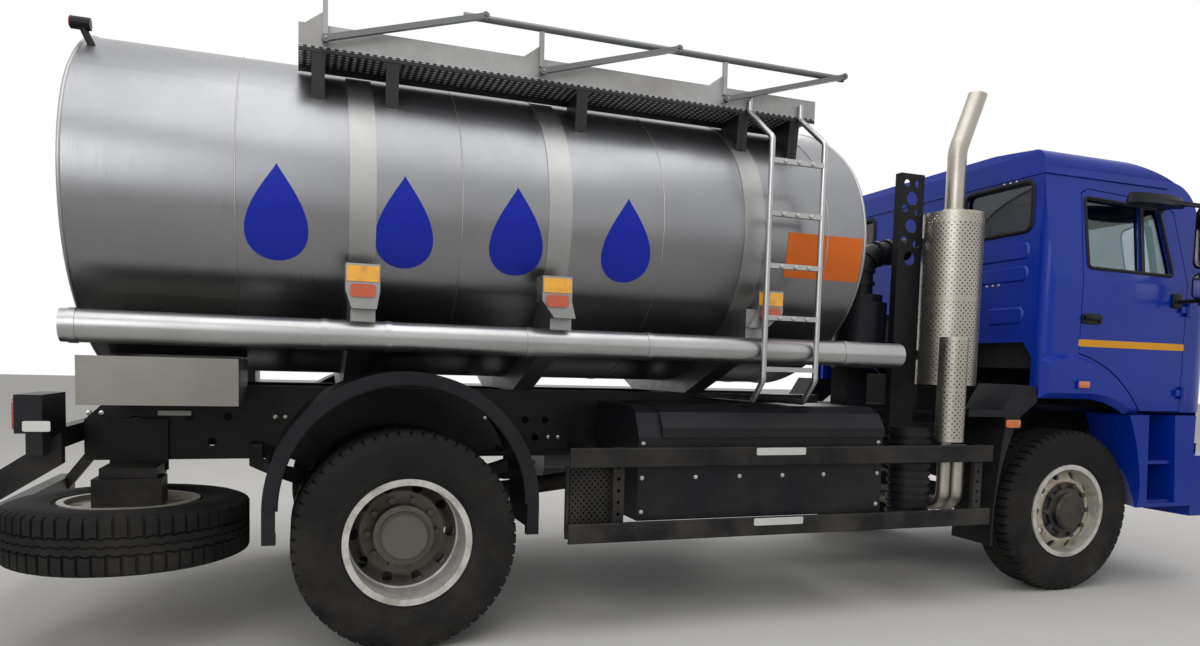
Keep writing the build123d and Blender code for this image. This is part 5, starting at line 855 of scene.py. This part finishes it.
# %% Ladder studs, tank straps and lid fittings
stud_places = [(rear_x + x, -1.245, 2.48 - 0.275 * i) for i in range(4) for x in (1.935, 2.020, 2.105)]
make_piece("ladder_studs", bolt_heads(stud_places, (0, -1, 0), 0.013, 0.008), bright_bolts, "chassis")
strap_line = rounded_loop([(0.558, 0.568), (1.202, 0.568), (1.202, 1.172), (0.558, 1.172)], 0.092, 8)
strap_section = np.array([(-0.002, -0.03), (0.002, -0.03), (0.002, 0.03), (-0.002, 0.03)])
straps = []
for x in (1.416, 2.439):
    path = np.stack([np.full(len(strap_line), rear_x + x), strap_line[:, 0], strap_line[:, 1]], -1)
    straps.append(sweep(path, (1, 0, 0), strap_section, closed=True))
make_piece("fuel_tank_straps", straps, chassis_paint, "chassis")
cap = hoop(rear_x + 1.70, 0.95, 1.185, 0.030, round_section(0.030, 12) * (1, 0.6))
make_piece("fuel_cap", cap, guard_plastic, "chassis")
lid_x, lid_y = rear_x + 0.264, 0.0
turn = np.radians(np.arange(6) * 60 + 30)
CLAMP_R, CLAMP_Z, LID_TOP = 0.205, 3.071, 3.099
clamp_places = np.stack([lid_x + CLAMP_R * np.cos(turn), lid_y + CLAMP_R * np.sin(turn),
                         np.full(6, CLAMP_Z)], -1)
make_piece("lid_clamps", bolt_heads(clamp_places, (0, 0, 1), 0.018, 0.015), bright_bolts, "lid")
arch = np.linspace(0, np.pi, 14)
handle_path = np.stack([np.full(14, lid_x), lid_y + 0.07 * np.cos(arch),
                        LID_TOP + 0.028 * np.sin(arch).clip(0) ** 0.6], -1)
make_piece("lid_handle", sweep(handle_path, (1, 0, 0), round_section(0.006, 8)), tube_steel, "lid",
           60)

# %% [markdown]
# The studio is a pale floor under a white surround. The surround is white only for rays that are
# seen directly, mirrored or seen through glass, so the light on the truck comes from the lamps
# and a dim sky, and the white backdrop doesn't wash the colours out.

# %% Floor and surround
floor_size = 60
ends = (-floor_size, floor_size)
floor_points = np.array([[x, y, 0] for x in ends for y in ends], float)
floor_mesh = bpy.data.meshes.new("floor")
floor_mesh.from_pydata(floor_points.tolist(), [], [[0, 2, 3, 1]])
floor = bpy.data.objects.new("floor", floor_mesh)
bpy.context.scene.collection.objects.link(floor)
floor_material, tree, shader = new_material("floor", 0.0)
cloudy = noise(tree, object_place(tree), 0.6, 4.0)
wire(tree, shader, mixed(tree, cloudy, chart(214, 212, 208), chart(206, 204, 200)))
shader.inputs["Roughness"].default_value = 0.8
floor_mesh.materials.append(floor_material)

world = bpy.data.worlds.new("surround")
bpy.context.scene.world = world
world.use_nodes = True
tree = world.node_tree
rays = shader_node(tree, "ShaderNodeLightPath").outputs
seen = shader_node(tree, "ShaderNodeMath", {0: rays["Is Camera Ray"], 1: rays["Is Glossy Ray"]},
                   operation="MAXIMUM")
seen = shader_node(tree, "ShaderNodeMath", {0: seen.outputs[0], 1: rays["Is Transmission Ray"]},
                   operation="MAXIMUM")
sky = tree.nodes["Background"]
DIM_SKY, WHITE_WALL = 0.42, 1.0
tree.links.new(between(tree, seen.outputs[0], 0, 1, DIM_SKY, WHITE_WALL), sky.inputs["Strength"])
sky.inputs["Color"].default_value = (1, 1, 1, 1)
print("surround:", DIM_SKY, "as light and", WHITE_WALL, "as backdrop")

# %% [markdown]
# Three large lamps stand in for an overcast sky: one overhead, a weaker one behind the camera's
# left shoulder and the weakest behind the truck. Large lamps give soft shadows, as in the picture.


# %% Lamps
def soft_lamp(name, place, aim, size, power):
    """A square area lamp at a place, turned so that it looks at the aim."""
    lamp = bpy.data.lights.new(name, "AREA")
    lamp.size, lamp.energy = size, power
    holder = bpy.data.objects.new(name, lamp)
    bpy.context.scene.collection.objects.link(holder)
    holder.location = place
    holder.rotation_mode = "QUATERNION"
    holder.rotation_quaternion = (Vector(aim) - Vector(place)).to_track_quat("-Z", "Y")


SKY_POWER, SIDE_POWER, BACK_POWER = 400, 330, 260     # watts
soft_lamp("sky lamp", (-1.0, -2.0, 9.0), (0, 0, 1.0), 9.0, SKY_POWER)
soft_lamp("side lamp", (-7.0, -10.0, 6.0), (0, 0, 1.2), 6.0, SIDE_POWER)
soft_lamp("back lamp", (7.0, 8.0, 6.0), (0, 0, 1.5), 6.0, BACK_POWER)
print("lamps:", SKY_POWER + SIDE_POWER + BACK_POWER, "watts together")

# %% [markdown]
# The camera stands where the photographer stood: beside the rear wheel, at chest height,
# turned towards the front. The numbers come from matching known wheel and tank sizes to the
# picture. The picture's optical centre lies below its middle, which a small shift repeats.

# %% Camera
camera_yaw, camera_pitch, camera_roll = map(math.radians, (19.90, -3.85, 1.52))
forward = Vector((math.sin(camera_yaw) * math.cos(camera_pitch),
                  math.cos(camera_yaw) * math.cos(camera_pitch), math.sin(camera_pitch)))
level = Vector((math.cos(camera_yaw), -math.sin(camera_yaw), 0))
upright = level.cross(forward)
right = level * math.cos(camera_roll) + upright * math.sin(camera_roll)
up = upright * math.cos(camera_roll) - level * math.sin(camera_roll)
lens_data = bpy.data.cameras.new("camera")
PICTURE_WIDE, PICTURE_TALL, SENSOR = 1200, 646, 36.0     # pixels, pixels, mm
FOCAL_PIXELS, CENTRE_DOWN = 838.5, 425.8                 # focal length, optical centre from the top
lens_data.sensor_width = SENSOR
lens_data.lens = FOCAL_PIXELS / PICTURE_WIDE * SENSOR
lens_data.shift_y = (CENTRE_DOWN - PICTURE_TALL / 2) / PICTURE_WIDE
camera = bpy.data.objects.new("camera", lens_data)
bpy.context.scene.collection.objects.link(camera)
CAMERA_PLACE = (-2.2986, -5.1706, 1.3554)     # m
camera.matrix_world = Matrix.Translation(CAMERA_PLACE) @ Matrix(
    [[right[i], up[i], -forward[i]] for i in range(3)]).to_4x4()
bpy.context.scene.camera = camera
bpy.context.scene.view_settings.view_transform = "Standard"
print("camera lens", round(lens_data.lens, 2), "mm")
